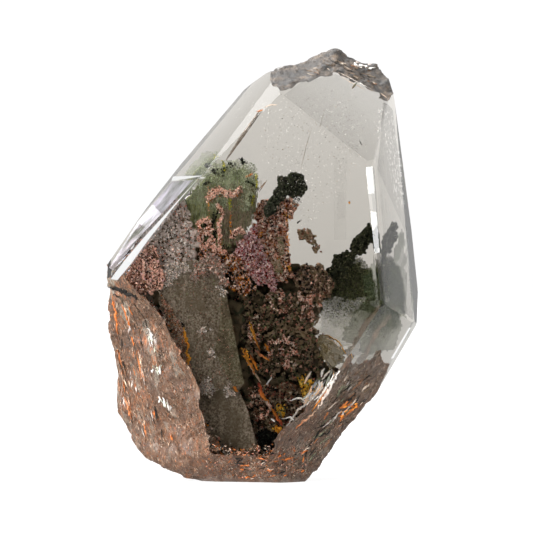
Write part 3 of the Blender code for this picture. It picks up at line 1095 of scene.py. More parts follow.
HEART = [
    (226, 262), (230, 240), (262, 236), (280, 244), (284, 268), (322, 276), (326, 288), (320, 303),
    (310, 318), (306, 340), (320, 352), (328, 366), (326, 392), (318, 414), (300, 444), (290, 460),
    (262, 466), (240, 458), (218, 448), (206, 430), (216, 405), (246, 392), (240, 350), (234, 300),
]
HEART_LEFT = [
    (149, 291), (158, 284), (168, 284), (178, 268), (198, 246), (232, 240), (240, 330), (250, 392),
    (246, 458), (222, 452), (206, 434), (192, 392), (178, 332),
]
COLUMN = [
    (256, 200), (264, 198), (274, 203), (279, 199), (286, 197), (294, 202), (295, 210), (289, 220),
    (288, 236), (287, 246), (290, 258), (293, 270), (286, 284), (274, 280), (266, 262), (258, 240),
    (254, 222),
]
CLUSTER = [
    (232, 250), (238, 240), (247, 236), (249, 226), (254, 224), (258, 238), (264, 250), (268, 262),
    (276, 274), (280, 284), (272, 290), (260, 284), (250, 276), (240, 264),
]
SIDE_CLUSTER = [
    (199, 250), (206, 244), (216, 246), (228, 246), (238, 258), (248, 272), (256, 288), (244, 298),
    (234, 290), (228, 278), (216, 272), (202, 266),
]
GREY_CLUSTER = [
    (196, 262), (206, 254), (218, 258), (226, 268), (230, 284), (222, 284), (212, 274), (200, 276),
    (188, 282),
]
SHOULDER = [
    (292, 272), (300, 266), (306, 268), (318, 266), (326, 273), (334, 284), (328, 297), (314, 300),
    (298, 292),
]
LOWER = [
    (234, 292), (262, 290), (300, 294), (322, 300), (316, 328), (326, 352), (320, 378), (290, 384),
    (262, 372), (244, 352), (238, 320),
]
ROOT = [
    (246, 388), (280, 384), (306, 386), (310, 408), (300, 436), (284, 456), (256, 460), (232, 452),
    (216, 430), (226, 404),
]
PINK_NESTS = (
    ([(298, 296), (312, 290), (323, 296), (318, 314), (310, 330), (300, 318)], 640),
    ([(262, 296), (280, 288), (292, 300), (286, 316), (270, 310)], 420),
    ([(268, 342), (284, 336), (300, 344), (304, 364), (286, 372), (270, 360)], 900),
    ([(244, 314), (256, 318), (262, 340), (252, 346), (246, 330)], 260),
    ([(246, 384), (262, 388), (272, 410), (258, 424), (244, 404)], 520),
)

# The dark heart is partly a dark mineral and partly painted shade in the gaps of the growth before it.
heart_places = np.vstack([sow(HEART, 1500, -3.4, 2.2), sow(HEART_LEFT, 1200, -5.2, 0.0)])
heart = grown("garden_heart", heart_places, 1.2, 1.1, 1.1, 0.46)
dressed(heart, dark_heart_and_shade_finish, "pink_minerals", "mineral_garden")
dressed(
    grown("rosy_column", clumped(sow(COLUMN, 1700, -5.6, -3.2), 1.0, -0.2), 0.34, 1.6, 0.45, 0.17),
    rosy_finish, "pink_minerals",
)
dressed(
    grown("lilac_cluster", clumped(sow(CLUSTER, 1700, -6.8, -5.4), 1.0, -0.2), 0.32, 1.7, 0.4, 0.16),
    lilac_finish, "pink_minerals",
)
dressed(
    grown("brown_shoulder", clumped(sow(SHOULDER, 700, -4.6, -2.0), 1.0, -0.15), 0.4, 1.7, 0.45, 0.18),
    brown_finish, "pink_minerals",
)
lower_places = clumped(sow(LOWER, 2600, -4.8, -3.4), 1.3, 0.02)
dressed(grown("lower_growth", lower_places, 0.32, 1.8, 0.42, 0.18), brown_finish, "pink_minerals")
root_places = clumped(sow(ROOT, 1900, -5.0, -3.4), 1.4, 0.0)
dressed(grown("root_growth", root_places, 0.32, 1.8, 0.42, 0.18), brown_finish, "pink_minerals")

# %% [markdown]
# ## Loose growth over the garden
#
# The grown masses alone look like sponge. Loose grains in small nests over them bring the sparkle of many
# colours: salmon, crimson and rust in the column, lilac in the cluster, and mostly dark brown with pink
# nests below.

# %% Loose growth over the garden
def nest(name, outline, count, near, far, sizes, colours, gap=0.04, finest=0.45):
    """Crumbs behind an outline that leave small gaps between their nests."""
    crumbs(name, clumped(sow(outline, count, near, far), finest, gap), *sizes, colours, 0.45)


FINE, COARSE = (0.05, 0.19), (0.07, 0.25)
nest(
    "column_crumbs", COLUMN, 7400, -6.6, -4.6, COARSE,
    (BLOOD, PINK, SOOT, SALMON, PALE_PINK, BROWN, RUST, PALE_PINK, SOOT, PALE_PINK, BLOOD, SALMON),
)
nest(
    "cluster_crumbs", CLUSTER, 6800, -7.8, -6.2, FINE,
    (LILAC, PALE_LILAC, CRIMSON, PALE_LILAC, DEEP_ROSE, PALE_PINK, LILAC, ROSE, BLOOD, SOOT), 0.02,
)
nest(
    "side_crumbs", SIDE_CLUSTER, 5200, -7.8, -6.4, COARSE,
    (PINK, BLOOD, SALMON, RUST, PALE_PINK, SOOT, BROWN, PALE_PINK, ORANGE, SOOT), 0.05,
)
nest(
    "grey_crumbs", GREY_CLUSTER, 3600, -9.7, -9.2, FINE,
    (STONE_GREY, DUN, ROSE, (0.42, 0.3, 0.26), EARTH, DUN, PALE_PINK), -0.2,
)
nest(
    "shoulder_crumbs", SHOULDER, 4400, -5.4, -3.0, COARSE,
    (BROWN, DUN, SOOT, EARTH, SALMON, SOOT, RED_BROWN, DUN, TAN, SOOT),
)
nest(
    "lower_crumbs", LOWER, 12000, -5.4, -4.0, COARSE,
    (
        SOOT, EARTH, (0.3, 0.22, 0.15), SOOT, DUN, EARTH, (0.14, 0.14, 0.07), ROSE, DUN, SOOT, DUN,
        (0.2, 0.17, 0.1), OLIVE,
    ),
    0.1, 1.2,
)
nest(
    "root_crumbs", ROOT, 8600, -5.6, -4.0, COARSE,
    (SOOT, DUN, BROWN, DEEP_ROSE, EARTH, SAND, SOOT, RED_BROWN, DUN), -0.02, 0.6,
)
crumbs(
    "pink_nests",
    np.vstack([clumped(sow(where, 2 * count, -6.0, -5.2), 0.95, 0.12) for where, count in PINK_NESTS]),
    0.07, 0.25, (PINK, SOOT, PALE_PINK, ROSE, BROWN, SALMON, SAND, RED_BROWN), 0.4,
)
RIM = (
    [(283, 212), (289, 216), (287, 226)],
    [(287, 236), (288, 246), (287, 254)],
    [(286, 262), (290, 270)],
    [(262, 232), (257, 240)],
)
crumbs(
    "column_rim", np.vstack([along(line, 70, -6.2, 0.9) for line in RIM]), 0.05, 0.17,
    (ORANGE, RUST, AMBER, PINK),
)
OLIVE_GAPS = (
    [(276, 236), (283, 236), (285, 254), (279, 256)],
    [(270, 258), (280, 260), (284, 274), (275, 272)],
)
crumbs(
    "column_olive", np.vstack([sow(gap, 420, -6.8, -6.3, fray=2.0) for gap in OLIVE_GAPS]), 0.05, 0.14,
    (TAN, OLIVE, DUN, TAN),
)

# %% [markdown]
# ## Ladders and an arch
#
# At the upper left the pink mineral grew in thin posts with rungs, under a small arch. Black gaps stand
# between them.

# %% Ladders and an arch
POSTS = (
    [(232, 237), (238, 230), (244, 232)],
    [(217, 204), (222, 211), (223, 216), (218, 225), (220, 236), (220, 247)],
    [(199, 222), (203, 220), (209, 220), (210, 232), (210, 246)],
    [(199, 222), (199, 234), (201, 246), (210, 246)],
    [(199, 233), (209, 231)],
    [(214, 240), (214, 250), (226, 252)],
)
ARCH = [(210, 200), (211, 194), (218, 190), (226, 193), (233, 196), (239, 189)]
GAPS = ([(201, 223), (208, 223), (208, 231), (201, 232)], [(202, 234), (209, 233), (209, 243), (202, 243)],
        [(212, 214), (216, 214), (216, 238), (212, 238)], [(219, 197), (227, 199), (226, 204), (219, 203)])
ladder = np.vstack([along(line, 120, -8.2, 1.1) for line in POSTS] + [along(ARCH, 200, -8.5, 1.9)])
dressed(grown("pink_ladders", ladder, 0.2, 1.7, 0.36, 0.12), rosy_finish, "pink_minerals")
crumbs(
    "ladder_crumbs",
    np.vstack([along(line, 200, -8.4, 1.5) for line in POSTS] + [along(ARCH, 420, -8.8, 2.1)]), 0.05, 0.19,
    (PALE_PINK, SALMON, RUST, PINK, SOOT, SALMON, PALE_PINK, BLOOD, SALMON), 0.4,
)
crumbs(
    "ladder_gaps", np.vstack([sow(gap, 110, -7.5, -7.1) for gap in GAPS]), 0.12, 0.32, (SOOT, BLACK_GREEN),
    slot="dark_chlorite",
)

# %% [markdown]
# ## The green phantom
#
# Chlorite once settled on a face of the young crystal, and the crystal grew on over it: a curtain of green
# dust with upright streaks. A folded sheet gives the body, and thousands of upright needles before it give
# streaks with soft ends.

# %% The green phantom
CURTAIN = [
    (182, 230), (181, 212), (187, 198), (196, 186), (206, 177), (214, 172), (224, 168), (240, 168),
    (252, 172), (257, 184), (256, 206), (249, 226), (240, 240), (226, 246), (210, 250), (194, 244),
]
CURTAIN_TOP = [
    (196, 190), (204, 176), (212, 166), (224, 160), (240, 160), (253, 164), (259, 176), (257, 190),
    (236, 184), (214, 188),
]
CURTAIN_WARM = [
    (230, 196), (240, 186), (256, 186), (257, 206), (250, 226), (240, 240), (224, 246), (222, 220),
    (224, 200),
]
CURTAIN_GRAIN, HAZE_GRAIN = 1.0, 1.45
HAZE_STEP, HAZE_FOLD, HAZE_THICKNESS = 0.3, 0.6, 0.04
print(len(CURTAIN), "corners of the curtain")



# %% [markdown]
# ## A hanging sheet
#
# A sheet is a grid on the picture. Its depth folds with a noise that is squeezed upright, its rim frays
# with another one, and then it gets a thickness.

# %% A hanging sheet
def curtain_mesh(name, outline, depth, fold, thickness, facet=FRONT, grain=CURTAIN_GRAIN):
    """A hanging sheet behind an outline, folded upright, with frayed edges."""
    low, high = np.min(outline, axis=0), np.max(outline, axis=0)
    columns = np.arange(low[0], high[0], grain)
    rows = np.arange(low[1], high[1], grain)
    column, row = np.meshgrid(columns, rows)
    folds = np.array(
        [noise.noise(Vector((c / 9.0, 0.0, r / 60.0))) for c, r in zip(column.ravel(), row.ravel())]
    )
    frays = np.array(
        [noise.noise_vector(Vector((c / 4.0, 3.0, r / 9.0))) for c, r in zip(column.ravel(), row.ravel())]
    )
    kept = within(
        outline, column.ravel() + 4.0 * frays[:, 0], row.ravel() + 6.0 * frays[:, 2],
    ).reshape(column.shape)
    places = seen(column.ravel(), row.ravel(), depth + fold * folds, facet)
    index = np.arange(column.size).reshape(column.shape)
    quads = np.stack([index[:-1, :-1], index[1:, :-1], index[1:, 1:], index[:-1, 1:]], axis=-1)
    quads = quads[kept[:-1, :-1] & kept[1:, :-1] & kept[1:, 1:] & kept[:-1, 1:]]
    bm = bmesh.new()
    verts = [bm.verts.new(place) for place in places]
    for quad in quads:
        bm.faces.new([verts[i] for i in quad])
    bmesh.ops.delete(bm, geom=[vert for vert in bm.verts if not vert.link_faces], context="VERTS")
    bmesh.ops.solidify(bm, geom=bm.faces[:], thickness=thickness)
    return as_piece(bm, name)

# %% [markdown]
# ## Streaks and haze
#
# Two finishes suit such sheets: upright streaks of dust for the dense ones, and a haze for the thin ones,
# which lets most of the light through.

# %% Streaks and haze
def streaked_finish(name, deep, middle, light, warm, streak=1700.0, share=0.42):
    """Upright streaks of dust: noise that is squeezed sideways, with warmer patches."""
    finish, nodes = new_material(name)
    shader = nodes["Principled BSDF"]
    tune(shader, Roughness=0.9, Specular_IOR_Level=0.1)
    where = nodes.new("ShaderNodeTexCoord").outputs["Object"]
    squeeze = nodes.new("ShaderNodeMapping")
    tune(squeeze, Scale=(1.0, 1.0, 0.1))
    wire(where, squeeze.inputs["Vector"])
    streaks = noise_node(nodes, squeeze.outputs["Vector"], streak, 3.0, 0.6)
    grit = noise_node(nodes, where, 3200.0, 2.0, 0.6)
    mixed = nodes.new("ShaderNodeMix")
    mixed.data_type = "FLOAT"
    mixed.inputs[0].default_value = share
    wire(streaks, mixed.inputs[2])
    wire(grit, mixed.inputs[3])
    body = ramp_node(nodes, mixed.outputs[0], ((0.32, deep), (0.48, middle), (0.66, light)))
    patch = noise_node(nodes, where, 260.0, 3.0, 0.6)
    patch_mask = mask_node(nodes, patch, 0.48, 0.64, 0.8)
    wire(colour_mix(nodes, patch_mask, body, warm), shader.inputs["Base Color"])
    return finish


def haze_finish(name, first, second, cover, slanted=False):
    """A thin sheet that lets part of the light through: dust, or the painted shade and reflections of the
    films under the facets.
    """
    finish, nodes = new_material(name)
    shader = nodes["Principled BSDF"]
    tune(shader, Roughness=1.0, Specular_IOR_Level=0.0, Alpha=cover)
    where = nodes.new("ShaderNodeTexCoord").outputs["Object"]
    if slanted:
        where = stretched(nodes, where, (0.0, math.radians(35), 0.0), (1.0, 1.0, 3.4))
    clouds_and_reflections = noise_node(nodes, where, 420.0, 4.0, 0.65)
    clouds_and_reflections = mask_node(nodes, clouds_and_reflections, 0.38, 0.62) if slanted else clouds_and_reflections
    wire(colour_mix(nodes, clouds_and_reflections, first, second), shader.inputs["Base Color"])
    return finish


def haze(name, outlines, depth, finish, slot, facet=FRONT):
    """Sheets of haze one before the other, so that it is densest where all of them overlap."""
    for number, outline in enumerate(outlines):
        sheet = curtain_mesh(
            f"{name}_{number}", outline, depth - HAZE_STEP * number, HAZE_FOLD, HAZE_THICKNESS, facet,
            HAZE_GRAIN,
        )
        dressed(sheet, finish, slot)

# %% [markdown]
# ## Sheets of the phantom
#
# One dense sheet stands for the phantom, and three hazy ones before it soften its rim. Two more lie behind
# the upper left facet, where the phantom is seen a second time: they paint that bent image, a painted
# refraction.

# %% Sheets of the phantom
green_haze = haze_finish("green_haze", (0.34, 0.4, 0.2), (0.66, 0.7, 0.48), 0.2)
curtain_finish = streaked_finish(
    "green_phantom", (0.19, 0.2, 0.09), (0.38, 0.4, 0.19), (0.56, 0.58, 0.36), (0.38, 0.32, 0.2),
    1300.0,
)
curtain = curtain_mesh("green_curtain", CURTAIN, -6.6, 1.0, 0.12)
dressed(curtain, curtain_finish, "green_chlorite", "green_phantom")
HAZES = (
    [
        (190, 196), (202, 178), (214, 166), (226, 160), (242, 160), (255, 166), (259, 180), (254, 200),
        (220, 200),
    ],
    [
        (186, 202), (200, 182), (212, 171), (226, 165), (244, 165), (255, 171), (258, 186), (252, 206),
        (216, 206),
    ],
    [
        (184, 206), (198, 186), (212, 175), (228, 169), (244, 169), (254, 176), (257, 192), (250, 212),
        (214, 212),
    ],
)
haze("curtain_haze", HAZES, -7.4, green_haze, "green_chlorite")
# A painted refraction: these two sheets paint the phantom's second image seen through the upper left facet.
PHANTOM_IMAGE_SHEETS = (
    [(182, 176), (190, 164), (204, 152), (222, 150), (214, 164), (202, 178), (190, 182)],
    [(178, 178), (190, 170), (204, 160), (216, 158), (208, 170), (198, 182), (186, 184)],
)
haze("phantom_second_image", PHANTOM_IMAGE_SHEETS, -5.0, green_haze, "green_chlorite", UPPER_LEFT_FACET)

# %% [markdown]
# ## Needles and grit of the phantom
#
# Close up the phantom is upright needles below and fine grit above, with a warmer part at the right, black
# specks, and yellow and rusty seams.

# %% Needles and grit of the phantom
crumbs(
    "curtain_needles", sow(CURTAIN, 3000, -8.0, -7.2), 0.025, 0.065,
    (OLIVE, (0.34, 0.37, 0.2), (0.11, 0.13, 0.05), (0.42, 0.46, 0.29), OLIVE), 1.0, GRAIN, 8.0,
    slot="green_chlorite",
)
crumbs(
    "curtain_grit", sow(CURTAIN_TOP, 9000, -8.4, -5.6), 0.03, 0.085,
    (SAGE, PALE_SAGE, SAGE, OLIVE, PALE_SAGE, MOSS), 1.0, FLAKE, slot="green_chlorite",
)
crumbs(
    "warm_needles", sow(CURTAIN_WARM, 2600, -8.2, -7.4), 0.02, 0.07,
    ((0.34, 0.28, 0.19), DUN, (0.22, 0.2, 0.12), (0.3, 0.25, 0.17), (0.2, 0.15, 0.1)), 1.0, GRAIN, 7.0,
    slot="green_chlorite",
)
SPECKS = (
    [(222, 172), (227, 169)], [(230, 163), (234, 165)], [(241, 161), (246, 163)], [(212, 171), (220, 173)],
    [(204, 184), (211, 182)], [(246, 180), (254, 186)], [(250, 196), (254, 202)],
)
crumbs(
    "curtain_specks", np.vstack([along(line, 16, -8.5, 1.4) for line in SPECKS]), 0.1, 0.24,
    (BLACK_GREEN, SOOT), slot="dark_chlorite",
)
YELLOWS = (
    [(223, 160), (225, 172)], [(256, 172), (257, 188)], [(230, 198), (230, 211)], [(254, 196), (252, 206)],
)
crumbs(
    "curtain_yellow", np.vstack([along(line, 60, -8.3, 0.6) for line in YELLOWS]), 0.05, 0.15,
    (YELLOW, OLIVE, (0.4, 0.42, 0.06)), slot="green_chlorite",
)
RUSTS = ([(246, 177), (252, 174)], [(208, 186), (209, 219)], [(230, 212), (231, 240)])
crumbs(
    "curtain_rust", np.vstack([along(line, 46, -8.3, 0.45) for line in RUSTS]), 0.05, 0.13,
    (ORANGE, RUST, PINK),
)

# %% [markdown]
# ## Smoky faces and granular banks
#
# Left of the heart an older crystal face shows as a smooth brown-grey plane with one crisp edge. A plate
# drawn by its corners, each with a depth of its own, gives that edge. Banks of pale and pink grit lie above
# it.

# %% Smoky faces and granular banks
def plate(name, corners, thickness, finish, slot):
    """A flat plate inside the stone; a corner is (column, row, depth), then its facet where not the front."""
    bm = bmesh.new()
    face = bm.faces.new([bm.verts.new(seen(*corner)) for corner in corners])
    thick = bmesh.ops.extrude_face_region(bm, geom=[face])
    for item in thick["geom"]:
        if isinstance(item, bmesh.types.BMVert):
            item.co.y += thickness
    bmesh.ops.triangulate(bm, faces=bm.faces[:])
    bmesh.ops.recalc_face_normals(bm, faces=bm.faces[:])
    piece = as_piece(bm, name)
    for side in piece.data.polygons:
        side.use_smooth = False
    return dressed(piece, finish, slot)


smoky_finish = streaked_finish(
    "smoky_face", (0.035, 0.026, 0.017), SMOKE, (0.46, 0.38, 0.3), (0.15, 0.12, 0.08), 900.0, 0.7,
)
olive_finish = streaked_finish(
    "olive_face", (0.03, 0.026, 0.014), (0.14, 0.12, 0.074), (0.34, 0.29, 0.2), (0.08, 0.06, 0.04),
    900.0, 0.7,
)
plate(
    "smoky_face",
    [
        (158, 300, -9.4), (162, 284, -9.4), (168, 272, -9.3), (180, 262, -9.2), (196, 260, -9.1),
        (210, 266, -9.0), (222, 272, -8.8), (228, 303, -8.6), (236, 342, -8.5), (244, 383, -8.4),
        (238, 392, -8.4), (226, 386, -8.5), (214, 398, -8.7), (200, 396, -9.0), (190, 374, -9.2),
        (180, 342, -9.4), (164, 318, -9.4),
    ],
    0.3, smoky_finish, "dark_chlorite",
)
plate(
    "olive_band",
    [
        (222, 280, -8.95), (228, 303, -8.72), (236, 342, -8.62), (244, 383, -8.52), (236, 388, -8.6),
        (224, 372, -8.8), (215, 350, -8.9), (220, 322, -8.9),
    ],
    0.08, olive_finish, "dark_chlorite",
)
plate(
    "smoky_foot",
    [
        (190, 386, -8.2), (214, 380, -8.1), (236, 384, -8.0), (247, 408, -7.9), (253, 430, -7.9),
        (258, 446, -7.9), (250, 452, -8.0), (226, 452, -8.1), (206, 434, -8.3),
    ],
    0.3, smoky_finish, "dark_chlorite",
)

# %% [markdown]
# ## Banks of grit
#
# Grit of many colours lies over the smooth faces: a pale bank above them, a pink one at the left, dark
# crumbs in the crevice, and pale spots on the face itself.

# %% Banks of grit
BANK = [
    (156, 214), (168, 202), (180, 199), (190, 212), (196, 232), (197, 254), (190, 264), (180, 268),
    (172, 280), (160, 286), (150, 270), (146, 238),
]
LEFT_BANK = [
    (121, 286), (127, 270), (136, 254), (146, 244), (156, 252), (162, 268), (164, 286), (152, 294),
    (134, 294),
]
CREVICE = [
    (124, 290), (136, 294), (150, 300), (160, 312), (168, 326), (160, 330), (150, 318), (138, 306),
    (126, 298),
]
SEAM = [
    (160, 292), (176, 312), (186, 346), (192, 388), (204, 426), (222, 448), (216, 460), (200, 440),
    (186, 400), (176, 350), (164, 318),
]
dressed(
    grown("granular_bank", sow(BANK, 900, -8.4, -6.2), 0.62, 1.2, 0.6, 0.22), bank_finish, "pink_minerals",
)
dressed(
    grown("left_bank", clumped(sow(LEFT_BANK, 1300, -10.6, -8.8), 1.2, -0.15), 0.34, 1.6, 0.45, 0.17),
    rosy_finish, "pink_minerals",
)
crumbs(
    "bank_crumbs", sow(BANK, 5200, -9.2, -7.4), 0.04, 0.18,
    (PALE_PINK, CHALK, DUN, STONE_GREY, (0.72, 0.62, 0.58), SOOT, STONE_GREY, ROSE, EARTH, CHALK), 0.6,
)
crumbs(
    "left_crumbs", clumped(sow(LEFT_BANK, 5200, -11.4, -9.4), 0.5, 0.0), 0.05, 0.18,
    (PINK, BLOOD, SALMON, LILAC, SALMON, BROWN, SALMON, SOOT, PALE_PINK, SOOT), 0.5,
)
crumbs(
    "crevice_crumbs", sow(CREVICE, 1500, -11.0, -9.8), 0.06, 0.22,
    (SOOT, ROSE, SOOT, STONE_GREY, BLOOD, SOOT, SAND), 0.6,
)
crumbs(
    "seam_crumbs", clumped(sow(SEAM, 9000, -10.6, -9.4), 0.9, -0.12), 0.05, 0.2,
    (DUN, TAN, EARTH, SAND, RUST, TAN, BROWN, DUN, ROSE), 0.6,
)
PALE_SPOTS = (
    ([(160, 272), (172, 262), (186, 262), (190, 270), (176, 280), (162, 290)], 900),
    ([(199, 384), (208, 379), (216, 386), (213, 397), (202, 396)], 420),
    ([(223, 386), (232, 385), (234, 394), (225, 396)], 200),
    ([(196, 330), (204, 327), (210, 327), (206, 333), (198, 333)], 80),
    ([(208, 349), (214, 348), (218, 356), (212, 356)], 90),
    ([(173, 322), (181, 320), (184, 340), (178, 345), (173, 338)], 260),
    ([(216, 284), (224, 284), (226, 294), (219, 294)], 70),
)
crumbs(
    "pale_spots", np.vstack([sow(spot, count, -9.8, -9.3) for spot, count in PALE_SPOTS]), 0.04, 0.16,
    (STONE_GREY, PALE_PINK, CHALK, SAND, STONE_GREY), 0.6,
)
FACE_DUST = [(164, 292), (184, 266), (210, 268), (226, 300), (242, 384), (214, 396), (192, 372)]
crumbs(
    "face_dust", sow(FACE_DUST, 3600, -9.9, -9.5), 0.04, 0.11,
    (SMOKE, DUN, EARTH, SMOKE, (0.2, 0.15, 0.1), ROSE, OLIVE), 1.5, FLAKE, slot="dark_chlorite",
)

# %% [markdown]
# ## Rust, gold and white streaks
#
# Iron stain runs down through cracks as thin bright streaks, and a fan of white cracks crosses a golden
# patch low down.

# %% Rust, gold and white streaks
FLAME = (0.98, 0.52, 0.06)
STREAKS = [
    ([(183, 328), (186, 337), (188, 348), (187, 352)], 3.2, -10.2, AMBER, ORANGE),
    ([(187, 350), (188, 360), (187, 367)], 4.0, -10.2, FLAME, ORANGE),
    ([(182, 323), (184, 330)], 3.4, -10.0, SOOT, SOOT),
    ([(180, 368), (188, 371)], 3.6, -10.0, SOOT, BROWN),
    ([(249, 321), (252, 329), (255, 338), (260, 350)], 2.6, -7.2, AMBER, RUST),
    ([(242, 348), (246, 357), (251, 366), (255, 374)], 3.6, -7.2, AMBER, RUST),
    ([(250, 355), (254, 362), (258, 370)], 3.0, -7.0, RUST, ORANGE),
    ([(247, 362), (254, 372), (261, 384)], 2.0, -7.2, TAN, TAN),
    ([(257, 383), (263, 396), (269, 403)], 4.2, -7.4, CRIMSON, ORANGE),
    ([(267, 402), (271, 408)], 3.6, -7.4, PALE_PINK, ROSE),
    ([(271, 408), (279, 420), (283, 427)], 3.4, -7.4, ORANGE, CRIMSON),
    ([(276, 426), (279, 432), (285, 434)], 5.0, -7.5, FLAME, ORANGE),
    ([(234, 386), (238, 392)], 4.0, -9.2, ORANGE, RUST),
    ([(265, 344), (270, 352)], 2.4, -6.4, ORANGE, RUST),
    ([(255, 350), (263, 356), (270, 361)], 2.6, -6.4, ROSE, ORANGE),
]
WHITES = [
    ([(337, 373), (329, 389), (318, 407)], 2.6, -7.6, CHALK, PALE_PINK),
    ([(333, 376), (325, 391), (314, 408)], 1.8, -7.4, TAN, CHALK),
    ([(324, 368), (321, 377)], 2.4, -7.2, SAND, CHALK),
    ([(319, 380), (321, 388), (319, 392)], 2.6, -7.6, CHALK, CHALK),
    ([(311, 372), (304, 384)], 2.2, -7.2, TAN, AMBER),
    ([(290, 401), (300, 397), (305, 402)], 2.2, -7.4, CHALK, PALE_PINK),
    ([(282, 419), (290, 417), (295, 421)], 1.8, -7.4, SAND, CHALK),
    ([(271, 418), (275, 422)], 1.6, -7.4, CHALK, CHALK),
    ([(307, 404), (305, 416)], 1.6, -7.4, PALE_PINK, TAN),
    ([(318, 391), (310, 402), (298, 410), (284, 430)], 2.0, -7.0, SAND, TAN),
    ([(319, 347), (326, 358), (332, 371)], 2.4, -6.4, DUN, SAND),
    ([(266, 384), (272, 377)], 2.0, -6.4, (0.2, 0.2, 0.2), DUN),
]
FAN = [(338, 370), (334, 384), (322, 404), (308, 412), (300, 404), (312, 384), (326, 370)]
GOLD = [(299, 378), (306, 374), (314, 382), (318, 394), (314, 406), (306, 402), (300, 390)]
GOLD_LOW = [(277, 404), (286, 404), (288, 414), (280, 416)]
HOLE = [(258, 432), (268, 430), (278, 436), (279, 448), (268, 452), (259, 446)]
# The white slashes are white cracks; their slight glow by emission is a painted highlight.
painted_gleam = crumb_finish("painted_gleam", painted_glow=0.3)
strands("rust_streaks", STREAKS, crumb)
strands(
    "white_slashes",
    WHITES + fan(
        FAN, 80, (-0.5, 0.85), (5, 15), (0.9, 2.4), -7.3, (CHALK, SAND, PALE_PINK, AMBER, SOOT, OLIVE),
    ),
    painted_gleam,
)
crumbs(
    "gold_patches", np.vstack([sow(GOLD, 900, -6.8, -6.0), sow(GOLD_LOW, 260, -6.8, -6.0)]), 0.06, 0.24,
    ((0.85, 0.46, 0.04), OLIVE, AMBER, SOOT, (0.7, 0.36, 0.03), (0.9, 0.62, 0.12)), 0.7,
)
crumbs(
    "flame_crumbs",
    np.vstack(
        [along([(276, 427), (284, 433)], 60, -7.7, 1.6), along([(243, 349), (248, 360)], 40, -7.4, 1.6)]
    ),
    0.06, 0.2, (FLAME, ORANGE, RUST),
)
crumbs("dark_hole", sow(HOLE, 500, -6.6, -6.0), 0.15, 0.38, (SOOT, BLACK_GREEN), slot="dark_chlorite")
BASE_FLECKS = [
    (192, 418), (206, 420), (222, 440), (246, 450), (262, 456), (258, 464), (230, 462), (204, 446),
]
strands(
    "base_flecks",
    fan(
        BASE_FLECKS, 90, (0.6, 0.5), (2, 6), (1.0, 2.6), -9.6,
        (ORANGE, RUST, PALE_PINK, SAND, SOOT, ROSE, STONE_GREY),
    ),
    crumb,
)

# %% [markdown]
# ## Splinters and stains of the base
#
# Left, the skin is tan and sand with rust; right, it is greyer and darker. Over the splinters come the
# marks that the photograph shows one by one: the black crevice at the left corner, rust runs, and pale
# glassy chips.

# %% Splinters and stains of the base
GREY_GREEN = (0.16, 0.16, 0.1)
STAIN, CLAY = (0.52, 0.15, 0.035), (0.36, 0.2, 0.12)
splinters(
    "splinters", 46000,
    (CLAY, DUN, BROWN, TAN, SOOT, CLAY, DUN, BROWN, STAIN, BROWN, SAND, CLAY, SOOT, EARTH),
    (SOOT, DUN, GREY_GREEN, EARTH, TAN, SOOT, DUN, BROWN, SMOKE, SOOT, CLAY, EARTH, SAND, SOOT),
    crumb,
)

# %% [markdown]
# ## Rust runs and glassy chips
#
# These marks are drawn one by one, each at its place on the picture, and laid on the skin by looking where
# the line of sight meets the stone.

# %% Rust runs and glassy chips
RUNS = [
    ([(110, 268), (109, 280), (111, 292)], 3.0, 0.02, STAIN, BROWN),
    ([(112, 296), (115, 312), (118, 334)], 2.4, 0.02, STAIN, STAIN),
    ([(122, 304), (126, 316), (131, 330)], 2.0, 0.02, STAIN, RUST),
    ([(118, 350), (121, 366), (123, 380)], 2.6, 0.02, STAIN, CLAY),
    ([(122, 392), (127, 404), (131, 420)], 2.4, 0.02, CLAY, STAIN),
    ([(136, 350), (140, 368), (141, 386)], 1.8, 0.02, RUST, BROWN),
    ([(110, 288), (118, 289), (128, 293), (138, 299)], 4.6, 0.02, SOOT, SOOT),
    ([(113, 294), (120, 297), (124, 306)], 3.0, 0.02, SOOT, EARTH),
    ([(134, 304), (144, 318), (152, 340), (158, 362)], 1.6, 0.02, SOOT, EARTH),
    ([(128, 306), (138, 326), (144, 352)], 1.2, 0.02, EARTH, SOOT),
]
CHIPS = (
    [(145, 322), (152, 326), (157, 344), (158, 358), (150, 348)],
    [(151, 363), (160, 362), (166, 370), (160, 378), (152, 374)],
    [(156, 393), (166, 398), (178, 411), (168, 412), (158, 404)],
)
CHIP_COLOURS = ((0.62, 0.64, 0.54), CHALK, STONE_GREY, (0.45, 0.46, 0.36))
chip_lines = []
for outline in CHIPS:
    chip_lines += fan(outline, 26, (0.25, 0.95), (4, 14), (1.0, 3.0), 0.02, CHIP_COLOURS)
print(len(RUNS) + len(chip_lines), "drawn marks")

# %% [markdown]
# ## Stains sown at random
#
# Smaller stains are too many to place. Each outline gets a fan of short slivers that lean the same way as
# the streaks there.

